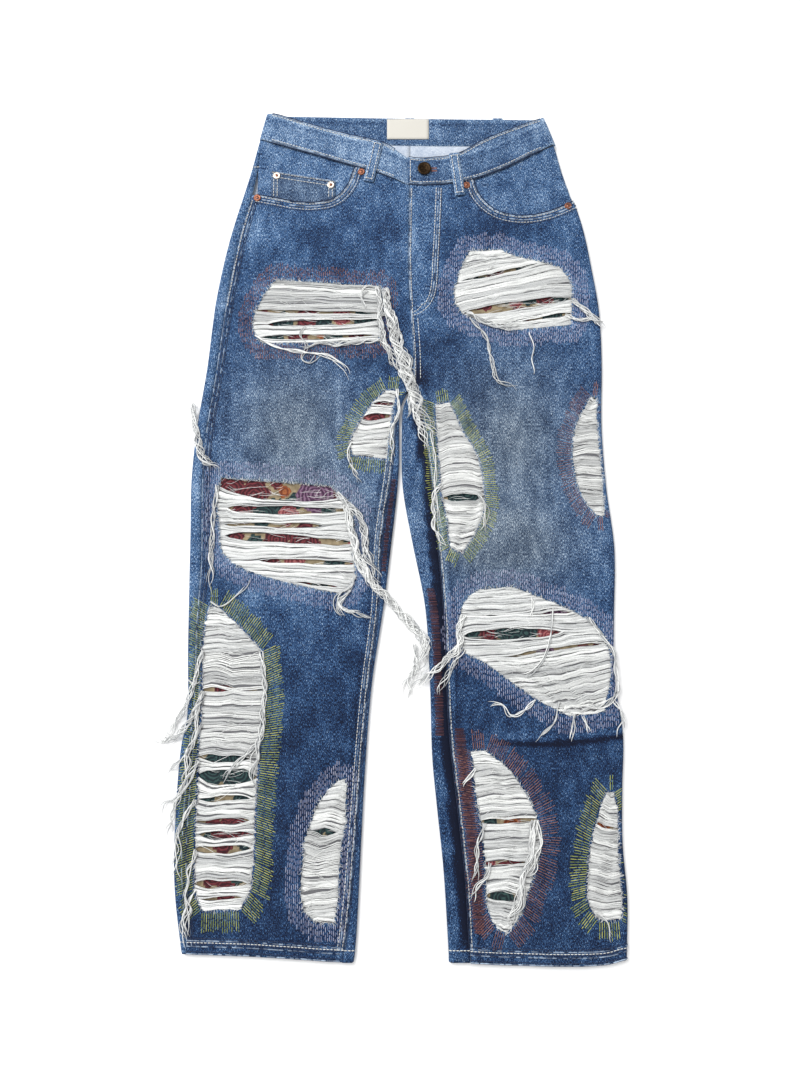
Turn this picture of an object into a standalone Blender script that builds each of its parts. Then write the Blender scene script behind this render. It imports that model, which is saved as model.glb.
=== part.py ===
"""Ripped five-pocket jeans, lying flat on their back.

Metres. The waist is toward +Y, the front faces +Z, and z = 0 is the surface that the jeans lie on.
Right and left are the wearer's, so the right leg lies at -X. Each leg is a flattened tube: its cloth
runs over the front, turns round a fold at each edge and runs back beneath. Depth is measured from
the tube's outer face inward, so whatever lies on a panel has a depth below zero.
"""
import math

import bmesh
import bpy
from mathutils import Vector

# Driving sizes
DENIM = 0.0012
BAND_CLOTH = 0.0022
SEAM = 0.0003
BAND_SEAM = 0.0006
FLY_SEAM = 0.0008
LAYER_GAP = 0.0003
FLAT_HEIGHT = 0.0059
FOLD_RADIUS = FLAT_HEIGHT / 2
HALF_TURN = math.pi * FOLD_RADIUS
SEAT_LIFT = 0.0015
BAND_LIFT = 0.0022
BAND_PROUD = 0.0007
CROTCH = 0.150
LEFT_OUTSEAM_BENEATH = 0.008
FLY_LAP = 0.0008
COLUMNS = 10
INNER_COLUMNS = 5
OFFSET_TO_CENTRE = (0.0055, 0.0022, 0.0)

# Heights of the panels' rows at the hem, along the leg, at the crotch and at the seat
LEG_ROWS = (-0.500, -0.465, -0.425, -0.385, -0.345, -0.310, -0.286, -0.269, -0.252, -0.215, -0.175,
            -0.135, -0.095, -0.055, -0.015, 0.025, 0.065, 0.100, 0.124, 0.138, 0.146)
SEAT_ROWS = (0.150, 0.185, 0.225, 0.265, 0.305, 0.345, 0.385)
YOKE_ROW_PARTS = (0.5, 1.0)
HEM_BEND_STARTS = -0.425
CROTCH_CURL = (0.130, 0.146)
CURL_SHARE = 0.6


def smooth(knots):
    """A smooth curve through (place, value) knots, level past its ends."""
    knots = sorted(knots)
    places = [place for place, _ in knots]
    values = [value for _, value in knots]
    last = len(knots) - 1

    def slope(index):
        before, after = max(index - 1, 0), min(index + 1, last)
        return (values[after] - values[before]) / (places[after] - places[before])

    def curve(place):
        place = min(max(place, places[0]), places[-1])
        index = max(k for k in range(last) if places[k] <= place)
        span = places[index + 1] - places[index]
        f = (place - places[index]) / span
        return (values[index] * (1 + 2 * f) * (1 - f) ** 2
                + slope(index) * span * f * (1 - f) ** 2
                + values[index + 1] * f * f * (3 - 2 * f)
                + slope(index + 1) * span * f * f * (f - 1))

    return curve


def straight(knots):
    """Straight stretches through (place, value) knots, level past its ends."""
    def line(place):
        place = min(max(place, knots[0][0]), knots[-1][0])
        for (a, low), (b, high) in zip(knots, knots[1:]):
            if place <= b:
                return low + (high - low) * (place - a) / (b - a)
        return knots[-1][1]

    return line


def across(points):
    """A curve that gives y from x."""
    return smooth(points)


def down(points):
    """A curve that gives x from y."""
    return smooth([(y, x) for x, y in points])


def ease(value, low, high):
    """0 below low, 1 above high, and soft between."""
    f = min(max((value - low) / (high - low), 0.0), 1.0)
    return f * f * (3 - 2 * f)


def lerp(start, stop, f):
    return start + (stop - start) * f


# Edges and seams, as (x, y)
RIGHT_OUTER_LINE = down([(-0.165, 0.505), (-0.174, 0.468), (-0.185, 0.422), (-0.208, 0.336),
                         (-0.223, 0.253), (-0.231, 0.171), (-0.241, 0.094), (-0.245, 0.033),
                         (-0.244, -0.027), (-0.242, -0.163), (-0.240, -0.240), (-0.246, -0.278),
                         (-0.249, -0.340), (-0.249, -0.400), (-0.246, -0.440), (-0.237, -0.497)])
RIGHT_INNER_LINE = down([(0.0200, 0.150), (0.0110, 0.138), (0.0050, 0.125), (0.0028, 0.113),
                         (0.002, 0.042), (-0.007, -0.046), (-0.016, -0.119), (-0.029, -0.207),
                         (-0.036, -0.301), (-0.040, -0.380), (-0.044, -0.470), (-0.047, -0.507)])
LEFT_INNER_LINE = down([(0.0206, 0.150), (0.0136, 0.138), (0.0082, 0.126), (0.0060, 0.113),
                        (0.0055, 0.042), (0.009, 0.007), (0.019, -0.046), (0.033, -0.119),
                        (0.038, -0.207), (0.040, -0.286), (0.045, -0.341), (0.052, -0.410),
                        (0.057, -0.497)])
LEFT_OUTER_LINE = down([(0.186, 0.500), (0.199, 0.464), (0.210, 0.422), (0.230, 0.357),
                        (0.241, 0.294), (0.248, 0.240), (0.249, 0.180), (0.246, 0.100),
                        (0.249, 0.025), (0.256, -0.050), (0.252, -0.140), (0.251, -0.200),
                        (0.258, -0.262), (0.255, -0.320), (0.253, -0.380), (0.256, -0.440),
                        (0.253, -0.501)])
RIGHT_OUTSEAM = down([(-0.1725, 0.471), (-0.1735, 0.441), (-0.180, 0.400), (-0.195, 0.340),
                      (-0.210, 0.250), (-0.221, 0.156), (-0.229, 0.094), (-0.232, 0.033),
                      (-0.230, -0.067), (-0.233, -0.134), (-0.233, -0.221), (-0.238, -0.290),
                      (-0.241, -0.400), (-0.234, -0.470), (-0.230, -0.500)])
RIGHT_INSEAM = down([(0.0200, 0.150), (0.0080, 0.138), (0.0010, 0.125), (-0.001, 0.107),
                     (-0.007, 0.042), (-0.018, -0.036), (-0.022, -0.119), (-0.033, -0.207),
                     (-0.041, -0.301), (-0.047, -0.384), (-0.053, -0.455), (-0.059, -0.500)])
LEFT_INSEAM = down([(0.0206, 0.150), (0.0250, 0.140), (0.0280, 0.131), (0.035, 0.078),
                    (0.040, 0.042), (0.045, -0.011), (0.052, -0.080), (0.057, -0.160),
                    (0.060, -0.254), (0.069, -0.341), (0.077, -0.420), (0.081, -0.500)])
RISE = down([(0.016, 0.408), (0.015, 0.360), (0.0145, 0.300), (0.017, 0.240), (0.020, 0.190),
             (0.0203, 0.150)])
CENTRE_BACK = down([(0.0203, 0.150), (0.018, 0.250), (0.016, 0.465)])
FRONT_BAND_LOW = across([(-0.174, 0.4705), (-0.155, 0.466), (-0.114, 0.454), (-0.074, 0.442),
                         (-0.025, 0.427), (-0.004, 0.4185), (0.014, 0.4105), (0.046, 0.410), (0.066, 0.412),
                         (0.094, 0.418), (0.132, 0.432), (0.171, 0.452), (0.199, 0.464)])
FRONT_BAND_HIGH = across([(-0.165, 0.5055), (-0.154, 0.505), (-0.099, 0.487), (-0.066, 0.478),
                          (-0.014, 0.464), (0.014, 0.446), (0.050, 0.446), (0.079, 0.452),
                          (0.098, 0.463), (0.133, 0.480), (0.172, 0.495), (0.186, 0.500)])
BACK_BAND_LOW = straight([(-0.174, 0.4705), (0.016, 0.465), (0.199, 0.464)])
BACK_BAND_HIGH = straight([(-0.165, 0.5055), (0.016, 0.502), (0.186, 0.500)])
YOKE_SEAM = straight([(-0.183, 0.431), (0.016, 0.400), (0.207, 0.430)])
FRONT_YOKE_ROW = straight([(-0.183, 0.431), (0.016, 0.374), (0.207, 0.430)])
YOKE_LEVEL = 0.430
BAND_LEVEL = 0.470
HEM = across([(-0.240, -0.497), (-0.150, -0.500), (-0.048, -0.506), (0.058, -0.506),
              (0.135, -0.509), (0.224, -0.509), (0.256, -0.502)])
FLY_STITCH = down([(0.055, 0.408), (0.053, 0.363), (0.050, 0.310), (0.047, 0.271), (0.038, 0.250),
                   (0.018, 0.237)])
RIGHT_POCKET_MOUTH = across([(-0.176, 0.3955), (-0.150, 0.391), (-0.130, 0.387), (-0.112, 0.385),
                             (-0.097, 0.386), (-0.086, 0.388), (-0.077, 0.392), (-0.068, 0.400),
                             (-0.060, 0.412), (-0.0565, 0.422), (-0.0525, 0.434)])
LEFT_POCKET_MOUTH = across([(0.094, 0.420), (0.101, 0.398), (0.116, 0.380), (0.134, 0.371),
                            (0.159, 0.368), (0.184, 0.372), (0.203, 0.379), (0.224, 0.389)])

# Main creases of the front, as (from, to, half width, height)
CREASES = (
    ((0.105, -0.266), (0.262, -0.274), 0.014, 0.0022),
    ((0.030, 0.196), (0.085, 0.228), 0.012, 0.0012),
    ((0.006, 0.184), (-0.045, 0.198), 0.012, 0.0012),
    ((-0.062, -0.125), (-0.078, -0.300), 0.016, 0.0012),
    ((-0.020, 0.040), (-0.034, -0.090), 0.010, 0.0010),
    ((0.118, 0.150), (0.200, 0.175), 0.016, 0.0010),
    ((-0.180, 0.150), (-0.090, 0.128), 0.018, 0.0010),
    ((0.110, 0.010), (0.205, -0.045), 0.018, 0.0012),
    ((-0.120, -0.220), (-0.090, -0.420), 0.018, 0.0010),
    ((0.175, -0.330), (0.190, -0.470), 0.016, 0.0010),
)
CREASE_CLEAR_OF_FOLD = 0.020
LAP_FADE = 0.006
FLY_LAP_RISES = (0.237, 0.260)


def underside(y):
    """Height of the outer face beneath: the seat lies on its pockets and the band on its loops."""
    seat = SEAT_LIFT * ease(y, 0.227, 0.263)
    return seat + (BAND_LIFT - SEAT_LIFT) * ease(y, 0.440, 0.455)


def crease_height(x, y):
    height = 0.0
    for (x0, y0), (x1, y1), half_width, rise in CREASES:
        run_x, run_y = x1 - x0, y1 - y0
        length = math.hypot(run_x, run_y)
        along = ((x - x0) * run_x + (y - y0) * run_y) / length
        aside = ((x - x0) * run_y - (y - y0) * run_x) / length
        past_end = max(-along, along - length, 0.0)
        height += rise * math.exp(-(aside * aside + past_end * past_end) / half_width ** 2)
    return height


def inside_edge(x, y):
    """How far a place lies inside the nearest fold; below zero outside the garment."""
    if y >= CROTCH:
        return min(x - RIGHT_OUTER_LINE(y), LEFT_OUTER_LINE(y) - x)
    in_right_leg = min(x - RIGHT_OUTER_LINE(y), RIGHT_INNER_LINE(y) - x)
    in_left_leg = min(x - LEFT_INNER_LINE(y), LEFT_OUTER_LINE(y) - x)
    return max(in_right_leg, in_left_leg)


def topside(x, y):
    """Height of the front's outer face."""
    fade = ease(inside_edge(x, y), FOLD_RADIUS, CREASE_CLEAR_OF_FOLD)
    lap = 0.0
    if RISE(y) < x and y > FLY_LAP_RISES[0]:
        lap = FLY_LAP * (1 - ease(x, FLY_STITCH(y) - LAP_FADE, FLY_STITCH(y)))
        lap *= ease(y, *FLY_LAP_RISES)
    return underside(y) + FLAT_HEIGHT + fade * crease_height(x, y) + lap


def on_top(x, y, depth=0.0):
    return Vector((x, y, topside(x, y) - depth))


def beneath(x, y, depth=0.0):
    return Vector((x, y, underside(y) + depth))


class Fold:
    """One edge of a flattened tube; side is +1 where the cloth lies toward -X of it.

    A reach is a distance along the cloth, from 0 where the front starts to turn, through HALF_TURN
    where it has turned beneath; it is below zero on the front.
    """

    def __init__(self, side, line):
        self.side = side
        self.line = line

    def start(self, y):
        return self.line(y) - self.side * FOLD_RADIUS

    def reach(self, x, y):
        beyond = self.side * (x - self.start(y))
        if beyond <= 0:
            return beyond
        return FOLD_RADIUS * math.asin(min(beyond / FOLD_RADIUS, 1.0))

    def at(self, reach, y, depth=0.0):
        if reach <= 0:
            return on_top(self.start(y) + self.side * reach, y, depth)
        if reach >= HALF_TURN:
            return beneath(self.start(y) - self.side * (reach - HALF_TURN), y, depth)
        angle = reach / FOLD_RADIUS
        radius = FOLD_RADIUS - depth
        middle = underside(y) + FOLD_RADIUS
        return Vector((self.start(y) + self.side * radius * math.sin(angle), y,
                       middle + radius * math.cos(angle)))


class Leg:
    def __init__(self, name, outer, inner, outer_reach, inseam, sign):
        self.name = name
        self.outer = outer
        self.inner = inner
        self.outer_reach = outer_reach
        self.inseam = inseam
        self.sign = sign

    def inner_reach(self, y):
        return self.inner.reach(self.inseam(y), y)


RIGHT_OUTER = Fold(-1, RIGHT_OUTER_LINE)
RIGHT_INNER = Fold(+1, RIGHT_INNER_LINE)
LEFT_INNER = Fold(-1, LEFT_INNER_LINE)
LEFT_OUTER = Fold(+1, LEFT_OUTER_LINE)
RIGHT = Leg("right", RIGHT_OUTER, RIGHT_INNER,
            lambda y: RIGHT_OUTER.reach(RIGHT_OUTSEAM(y), y), RIGHT_INSEAM, -1)
LEFT = Leg("left", LEFT_OUTER, LEFT_INNER,
           lambda y: HALF_TURN + LEFT_OUTSEAM_BENEATH, LEFT_INSEAM, +1)
LEGS = (RIGHT, LEFT)

# Collections, the empty that carries the jeans, and the finishes
for old in list(bpy.data.objects):
    bpy.data.objects.remove(old, do_unlink=True)
jeans = bpy.data.collections.new("ripped_jeans")
cutters = bpy.data.collections.new("cutters")
bpy.context.scene.collection.children.link(jeans)
bpy.context.scene.collection.children.link(cutters)
carrier = bpy.data.objects.new("jeans_origin", None)
carrier.location = OFFSET_TO_CENTRE
jeans.objects.link(carrier)


def finish(name, colour, roughness, metallic=0.0):
    material = bpy.data.materials.new(name)
    material.use_nodes = True
    shader = material.node_tree.nodes["Principled BSDF"]
    shader.inputs["Base Color"].default_value = (*colour, 1.0)
    shader.inputs["Roughness"].default_value = roughness
    shader.inputs["Metallic"].default_value = metallic
    return material


DENIM_BLUE = finish("denim", (0.075, 0.145, 0.290), 0.85)
DENIM_DARK = finish("denim_dark", (0.020, 0.045, 0.130), 0.85)
WEFT_WHITE = finish("weft", (0.720, 0.700, 0.660), 0.90)
TAPESTRY = finish("tapestry", (0.200, 0.110, 0.085), 0.90)
LABEL_WHITE = finish("label", (0.830, 0.810, 0.760), 0.80)
COPPER = finish("copper", (0.600, 0.300, 0.180), 0.35, 1.0)
DARK_BRASS = finish("dark_brass", (0.140, 0.105, 0.060), 0.40, 1.0)


def keep(obj, material=None, collection=jeans):
    """Puts an object in its collection, on the jeans' origin."""
    collection.objects.link(obj)
    obj.parent = carrier
    if material:
        obj.data.materials.append(material)
    if collection is cutters:
        obj.hide_render = True
        obj.display_type = "WIRE"
    return obj


def grid_mesh(rows):
    """A grid whose corners are the given rows of points, bottom row first."""
    bm = bmesh.new()
    high, wide = len(rows) - 1, len(rows[0]) - 1
    bmesh.ops.create_grid(bm, x_segments=wide, y_segments=high, size=1.0)
    for vertex in bm.verts:
        column = round((vertex.co.x + 1) / 2 * wide)
        row = round((vertex.co.y + 1) / 2 * high)
        vertex.co = rows[row][column]
    return bm


def cloth(name, rows, material, thickness=DENIM, bm=None):
    """A piece of cloth on its outer face's points, thickened inward."""
    bm = bm or grid_mesh(rows)
    mesh = bpy.data.meshes.new(name)
    bm.to_mesh(mesh)
    bm.free()
    mesh.shade_smooth()
    mesh.set_sharp_from_angle(angle=math.radians(40))
    piece = keep(bpy.data.objects.new(name, mesh), material)
    wall = piece.modifiers.new("wall", "SOLIDIFY")
    wall.thickness = thickness
    wall.offset = -1.0
    return piece


def prism(name, outline, low, high):
    """An upright cutter from low to high, on a flat outline."""
    curve = bpy.data.curves.new(name, "CURVE")
    curve.dimensions = "2D"
    curve.fill_mode = "BOTH"
    curve.extrude = (high - low) / 2
    spline = curve.splines.new("POLY")
    spline.points.add(len(outline) - 1)
    for point, (x, y) in zip(spline.points, outline):
        point.co = (x, y, 0.0, 1.0)
    spline.use_cyclic_u = True
    source = bpy.data.objects.new(name + "_outline", curve)
    bpy.context.scene.collection.objects.link(source)
    source.location.z = (low + high) / 2
    bpy.context.view_layer.update()
    graph = bpy.context.evaluated_depsgraph_get()
    mesh = bpy.data.meshes.new_from_object(source.evaluated_get(graph))
    bm = bmesh.new()
    bm.from_mesh(mesh)
    bmesh.ops.transform(bm, matrix=source.matrix_world, verts=bm.verts)
    bmesh.ops.remove_doubles(bm, verts=bm.verts, dist=0.000001)
    bmesh.ops.recalc_face_normals(bm, faces=bm.faces)
    bm.to_mesh(mesh)
    bm.free()
    bpy.data.objects.remove(source, do_unlink=True)
    return keep(bpy.data.objects.new(name, mesh), None, cutters)


def cut(piece, cutter):
    modifier = piece.modifiers.new(cutter.name, "BOOLEAN")
    modifier.operation = "DIFFERENCE"
    modifier.solver = "EXACT"
    modifier.object = cutter


# Panels
def row_height(base, x, highest_row):
    """Bends the seat's rows toward the highest and the lowest ones toward the hem."""
    if base > CROTCH:
        f = (base - CROTCH) / (SEAT_ROWS[-1] - CROTCH)
        return base + f * (highest_row(x) - SEAM / 2 - SEAT_ROWS[-1])
    if base < HEM_BEND_STARTS:
        f = (base - HEM_BEND_STARTS) / (LEG_ROWS[0] - HEM_BEND_STARTS)
        return base + f * (HEM(x) - LEG_ROWS[0])
    return base


def edge_height(leg, base, highest_row):
    """The height at which a row crosses the leg's outer edge."""
    return row_height(base, leg.outer.line(YOKE_LEVEL if base > CROTCH else base), highest_row)


def turned_stations(first):
    """Reaches from a panel's edge at first to where its other side starts."""
    third = HALF_TURN / 3
    if first > HALF_TURN:
        return [first, HALF_TURN, 2 * third, third, 0.0]
    second = 0.0 if first < -0.001 else (first + third) / 2
    return [first, second, third, 2 * third, HALF_TURN]


WIDE_SEAM_STARTS = (-0.010, 0.0)
WIDE_SEAM_ENDS = (0.016, 0.020)


def front_height(base, x, part):
    """A front row's height; part is how far it lies from the yoke's level to the band."""
    level = row_height(base, x, FRONT_YOKE_ROW)
    by_fly = FLY_SEAM * ease(x, *WIDE_SEAM_STARTS) * (1 - ease(x, *WIDE_SEAM_ENDS))
    return lerp(level, FRONT_BAND_LOW(x) - BAND_SEAM - by_fly, part)


def front_row(leg, base, part=0.0):
    """Points of one row of a front panel, from its outseam to its inseam or rise."""
    top = FRONT_BAND_LOW(leg.outer.line(BAND_LEVEL))
    y = lerp(edge_height(leg, base, FRONT_YOKE_ROW), top, part)
    first = leg.outer_reach(y) - SEAM / 2
    reaches = turned_stations(first) if first > HALF_TURN else [first]
    points = [leg.outer.at(reach, y) for reach in reaches]
    outer_x = points[-1].x
    if base < CROTCH:
        last = leg.inner.at(leg.inner_reach(base) - SEAM / 2, base)
    else:
        y = front_height(base, RISE(base), part)
        last = on_top(RISE(y) + leg.sign * SEAM / 2, y)
    steps = COLUMNS if len(reaches) == 1 else COLUMNS - 1
    for step in range(1, steps):
        x = lerp(outer_x, last.x, step / steps)
        points.append(on_top(x, front_height(base, x, part)))
    return points + [last]


CROTCH_COLUMNS_WIDTH = 0.012
COLUMNS_EVEN_FROM = 0.240


def back_row(leg, base):
    """Points of one row of a back panel, from its outseam beneath to its inseam or centre seam."""
    y = edge_height(leg, base, YOKE_SEAM)
    first = leg.outer_reach(y) + SEAM / 2
    reaches = [first] if first > HALF_TURN else turned_stations(first)
    points = [leg.outer.at(reach, y) for reach in reaches]
    outer_x = points[-1].x
    steps = 4 if len(reaches) == 1 else 3
    if base < CROTCH:
        seam = leg.inner_reach(base) + SEAM / 2
        last = lerp(seam, max(seam, HALF_TURN * CURL_SHARE), ease(base, *CROTCH_CURL))
        reaches = [HALF_TURN, HALF_TURN * 2 / 3, HALF_TURN / 3, 0.0, last / 2, last]
        if last > -0.001:
            reaches = [lerp(HALF_TURN, last, k / INNER_COLUMNS) for k in range(INNER_COLUMNS + 1)]
        inner = [leg.inner.at(reach, base) for reach in reaches]
    else:
        centre = CENTRE_BACK(base) + leg.sign * SEAM / 2
        even = abs(outer_x - centre) * INNER_COLUMNS / (INNER_COLUMNS + steps)
        width = lerp(CROTCH_COLUMNS_WIDTH, even, ease(base, CROTCH, COLUMNS_EVEN_FROM))
        xs = [centre + leg.sign * width * (1 - k / INNER_COLUMNS) for k in range(INNER_COLUMNS + 1)]
        inner = [beneath(x, row_height(base, x, YOKE_SEAM)) for x in xs]
    for step in range(1, steps):
        x = lerp(outer_x, inner[0].x, step / steps)
        points.append(beneath(x, row_height(base, x, YOKE_SEAM)))
    return points + inner


def outward(leg, row, under):
    """Orders a row so that the panel's outer face has its normal pointing out."""
    left_to_right = leg is RIGHT
    return list(row) if left_to_right != under else list(reversed(row))


def front_panel(leg):
    rows = [outward(leg, front_row(leg, base), False) for base in LEG_ROWS + SEAT_ROWS]
    rows += [outward(leg, front_row(leg, SEAT_ROWS[-1], part), False) for part in YOKE_ROW_PARTS]
    return cloth("front_" + leg.name, rows, DENIM_BLUE)


def back_panel(leg):
    rows = [outward(leg, back_row(leg, base), True) for base in LEG_ROWS + SEAT_ROWS]
    return cloth("back_" + leg.name, rows, DENIM_BLUE)


def yoke_height(x, f):
    """The height at part f of the way from the yoke's seam to the band."""
    return lerp(YOKE_SEAM(x) + SEAM / 2, BACK_BAND_LOW(x) - SEAM, f)


YOKE_COLUMNS = 6


def yoke(leg):
    rows = []
    for f in (0.0, 0.5, 1.0):
        y = yoke_height(leg.outer.line(YOKE_LEVEL), f)
        first = leg.outer_reach(y) + SEAM / 2
        reaches = [first] if first > HALF_TURN else turned_stations(first)
        row = [leg.outer.at(reach, y) for reach in reaches]
        start, stop = row[-1].x, CENTRE_BACK(y) + leg.sign * SEAM / 2
        for step in range(1, YOKE_COLUMNS + 1):
            x = lerp(start, stop, step / YOKE_COLUMNS)
            row.append(beneath(x, yoke_height(x, f)))
        rows.append(outward(leg, row, True))
    return cloth("yoke_" + leg.name, rows, DENIM_BLUE)


# Waistband
LAP_EDGE = 0.0135
LAP_UNDER_END = 0.046
LAP_UNDER_DEPTH = BAND_CLOTH - BAND_PROUD + LAYER_GAP
LAP_STEP = 0.007
FRONT_LEFT_ENDS = (LAP_EDGE, 0.181)
BACK_ENDS = (0.168, -0.146)
FRONT_RIGHT_ENDS = (-0.158, -0.004)
BAND_LOW_LEVEL, BAND_HIGH_LEVEL = 0.468, 0.502
BAND_SIDE_STEPS = 7
BAND_BACK_STEPS = 9


def band_edge(front, back, level):
    """The band's lower or upper edge, from the lap round the back to the end beneath the lap."""
    def stretch(ends, steps):
        return [lerp(*ends, k / steps) for k in range(steps + 1)]

    def turn(fold, order):
        y = back(fold.line(level))
        return [fold.at(HALF_TURN * k / 3, y, -BAND_PROUD) for k in order]

    edge = [on_top(x, front(x), -BAND_PROUD) for x in stretch(FRONT_LEFT_ENDS, BAND_SIDE_STEPS)]
    edge += turn(LEFT_OUTER, (0, 1, 2, 3))
    edge += [beneath(x, back(x), -BAND_PROUD) for x in stretch(BACK_ENDS, BAND_BACK_STEPS)]
    edge += turn(RIGHT_OUTER, (3, 2, 1, 0))
    edge += [on_top(x, front(x), -BAND_PROUD) for x in stretch(FRONT_RIGHT_ENDS, BAND_SIDE_STEPS)]
    edge.append(on_top(LAP_EDGE - LAP_STEP, front(LAP_EDGE - LAP_STEP), -BAND_PROUD))
    for x in (LAP_EDGE - 0.001, LAP_UNDER_END):
        edge.append(on_top(x, front(x), LAP_UNDER_DEPTH))
    return edge


def waistband():
    low = band_edge(FRONT_BAND_LOW, BACK_BAND_LOW, BAND_LOW_LEVEL)
    high = band_edge(FRONT_BAND_HIGH, BACK_BAND_HIGH, BAND_HIGH_LEVEL)
    middle = [(a + b) / 2 for a, b in zip(low, high)]
    return cloth("waistband", [low, middle, high], DENIM_BLUE, BAND_CLOTH)


# Front pockets, fly, loops, label and back pockets
FACING_DEPTH = DENIM + LAYER_GAP + 0.0001
FACING_BELOW_MOUTH = 0.014
FACING_SHORT = 0.001
FACING_CURVES_WITHIN = 0.008
CUT_LOW, CUT_HIGH = -0.010, 0.030
CUT_ASIDE = 0.030
CUT_TOP = 0.520


def mouth_cutter(leg, mouth, from_x, to_x):
    """Everything of the front panel above the pocket's mouth."""
    steps = 18
    line = [(lerp(from_x, to_x, k / steps), mouth(lerp(from_x, to_x, k / steps)))
            for k in range(steps + 1)]
    beyond = to_x + leg.sign * CUT_ASIDE
    outline = line + [(beyond, line[-1][1]), (beyond, CUT_TOP), (from_x, CUT_TOP)]
    return prism("pocket_mouth_" + leg.name, outline, CUT_LOW, CUT_HIGH)


def facing(leg, mouth, inner_x):
    """The pocket's back layer, which shows above the mouth."""
    rows = []
    steps = 6
    for f in (0.0, 0.25, 0.5, 0.75, 1.0):
        edge_x = leg.outer.line(YOKE_LEVEL)
        y = lerp(mouth(edge_x) - FACING_BELOW_MOUTH, FRONT_BAND_LOW(edge_x) - 2 * BAND_SEAM, f)
        first = min(leg.outer_reach(y), 0.0) - FACING_SHORT
        row = [leg.outer.at(first, y, FACING_DEPTH)]
        start = on_top(row[0].x - leg.outer.side * FACING_CURVES_WITHIN, y, FACING_DEPTH)
        row.append(start)
        for step in range(1, steps + 1):
            x = lerp(start.x, inner_x, step / steps)
            low, high = mouth(x) - FACING_BELOW_MOUTH, FRONT_BAND_LOW(x) - 2 * BAND_SEAM
            row.append(on_top(x, lerp(low, high, f), FACING_DEPTH))
        rows.append(outward(leg, row, False))
    return cloth("pocket_facing_" + leg.name, rows, DENIM_DARK)


COIN_POCKET_TOP = ((-0.1580, 0.4285), (-0.0775, 0.4150))
COIN_POCKET_CLOTH = 0.0010
COIN_POCKET_CLEAR = 0.0008
FLY_SHIELD_XS = (0.002, 0.013, 0.024, 0.044)
FLY_SHIELD_YS = (0.225, 0.405)


def coin_pocket():
    """The small pocket on the right facing, down to the front pocket's mouth."""
    columns = 5
    depth = FACING_DEPTH - LAYER_GAP - COIN_POCKET_CLOTH
    (outer_x, outer_y), (inner_x, inner_y) = COIN_POCKET_TOP
    rows = []
    for f in (0.0, 0.5, 1.0):
        row = []
        for k in range(columns + 1):
            x = lerp(outer_x, inner_x, k / columns)
            low, high = RIGHT_POCKET_MOUTH(x) + COIN_POCKET_CLEAR, lerp(outer_y, inner_y, k / columns)
            row.append(on_top(x, lerp(low, high, f), depth))
        rows.append(row)
    return cloth("coin_pocket", rows, DENIM_BLUE, COIN_POCKET_CLOTH)


def fly_shield():
    """The layer behind the fly's edge."""
    rows = []
    for k in range(6):
        y = lerp(*FLY_SHIELD_YS, k / 5)
        level = underside(y) + FLAT_HEIGHT - FACING_DEPTH
        rows.append([Vector((x, y, level)) for x in FLY_SHIELD_XS])
    return cloth("fly_shield", rows, DENIM_DARK)


LOOP_WIDTH = 0.0125
LOOP_CLOTH = 0.0012
LOOP_RISE = BAND_PROUD + LAYER_GAP + LOOP_CLOTH
LOOP_BOW = 0.0008
LOOP_CROWN = 0.0003
BACK_LOOP_YS = (0.446, 0.465, 0.485, 0.5045)


def front_loop(name, top, bottom):
    """A belt loop over the band, from its top centre to its bottom centre."""
    rows = []
    aside = Vector((top[1] - bottom[1], bottom[0] - top[0])).normalized() * LOOP_WIDTH / 2
    for f in (0.0, 0.2, 0.4, 0.7, 1.0):
        x, y = lerp(bottom[0], top[0], f), lerp(bottom[1], top[1], f)
        bow = LOOP_BOW * math.sin(math.pi * f)
        rows.append([on_top(x - aside.x, y - aside.y, -LOOP_RISE - bow),
                     on_top(x, y, -LOOP_RISE - bow - LOOP_CROWN),
                     on_top(x + aside.x, y + aside.y, -LOOP_RISE - bow)])
    return cloth(name, rows, DENIM_BLUE, LOOP_CLOTH)


def back_loop(name, x):
    """A belt loop flat beneath the band; the jeans lie on it."""
    rows = []
    for y in BACK_LOOP_YS:
        rows.append([Vector((x + LOOP_WIDTH / 2, y, 0.0)), Vector((x - LOOP_WIDTH / 2, y, 0.0))])
    return cloth(name, rows, DENIM_BLUE, LOOP_CLOTH)


BACK_POCKET_WIDTHS = (0.128, 0.145)
BACK_POCKET_TOP = 0.425
BACK_POCKET_SIDE_END = 0.300
BACK_POCKET_POINT = 0.284


def back_pocket(leg, centre):
    """A five-sided patch pocket flat beneath the seat; the jeans lie on it."""
    columns = 4
    rows = []
    for f in (0.0, 0.5, 1.0):
        row = []
        for k in range(columns + 1):
            s = 2 * k / columns - 1
            low = lerp(BACK_POCKET_POINT, BACK_POCKET_SIDE_END, abs(s))
            width = lerp(*BACK_POCKET_WIDTHS, f)
            row.append(Vector((centre - s * width / 2, lerp(low, BACK_POCKET_TOP, f), 0.0)))
        rows.append(row)
    return cloth("back_pocket_" + leg.name, rows, DENIM_BLUE)


LABEL_XS = (-0.013, 0.040)
LABEL_YS = (0.4735, 0.4875, 0.5010)
LABEL_CLOTH = 0.0005


def inner_label():
    """The bare label inside the back of the band."""
    face = BAND_LIFT - BAND_PROUD + BAND_CLOTH + LAYER_GAP + LABEL_CLOTH
    rows = [[Vector((lerp(*LABEL_XS, k / 3), y, face)) for k in range(4)] for y in LABEL_YS]
    return cloth("inner_label", rows, LABEL_WHITE, LABEL_CLOTH)


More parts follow.
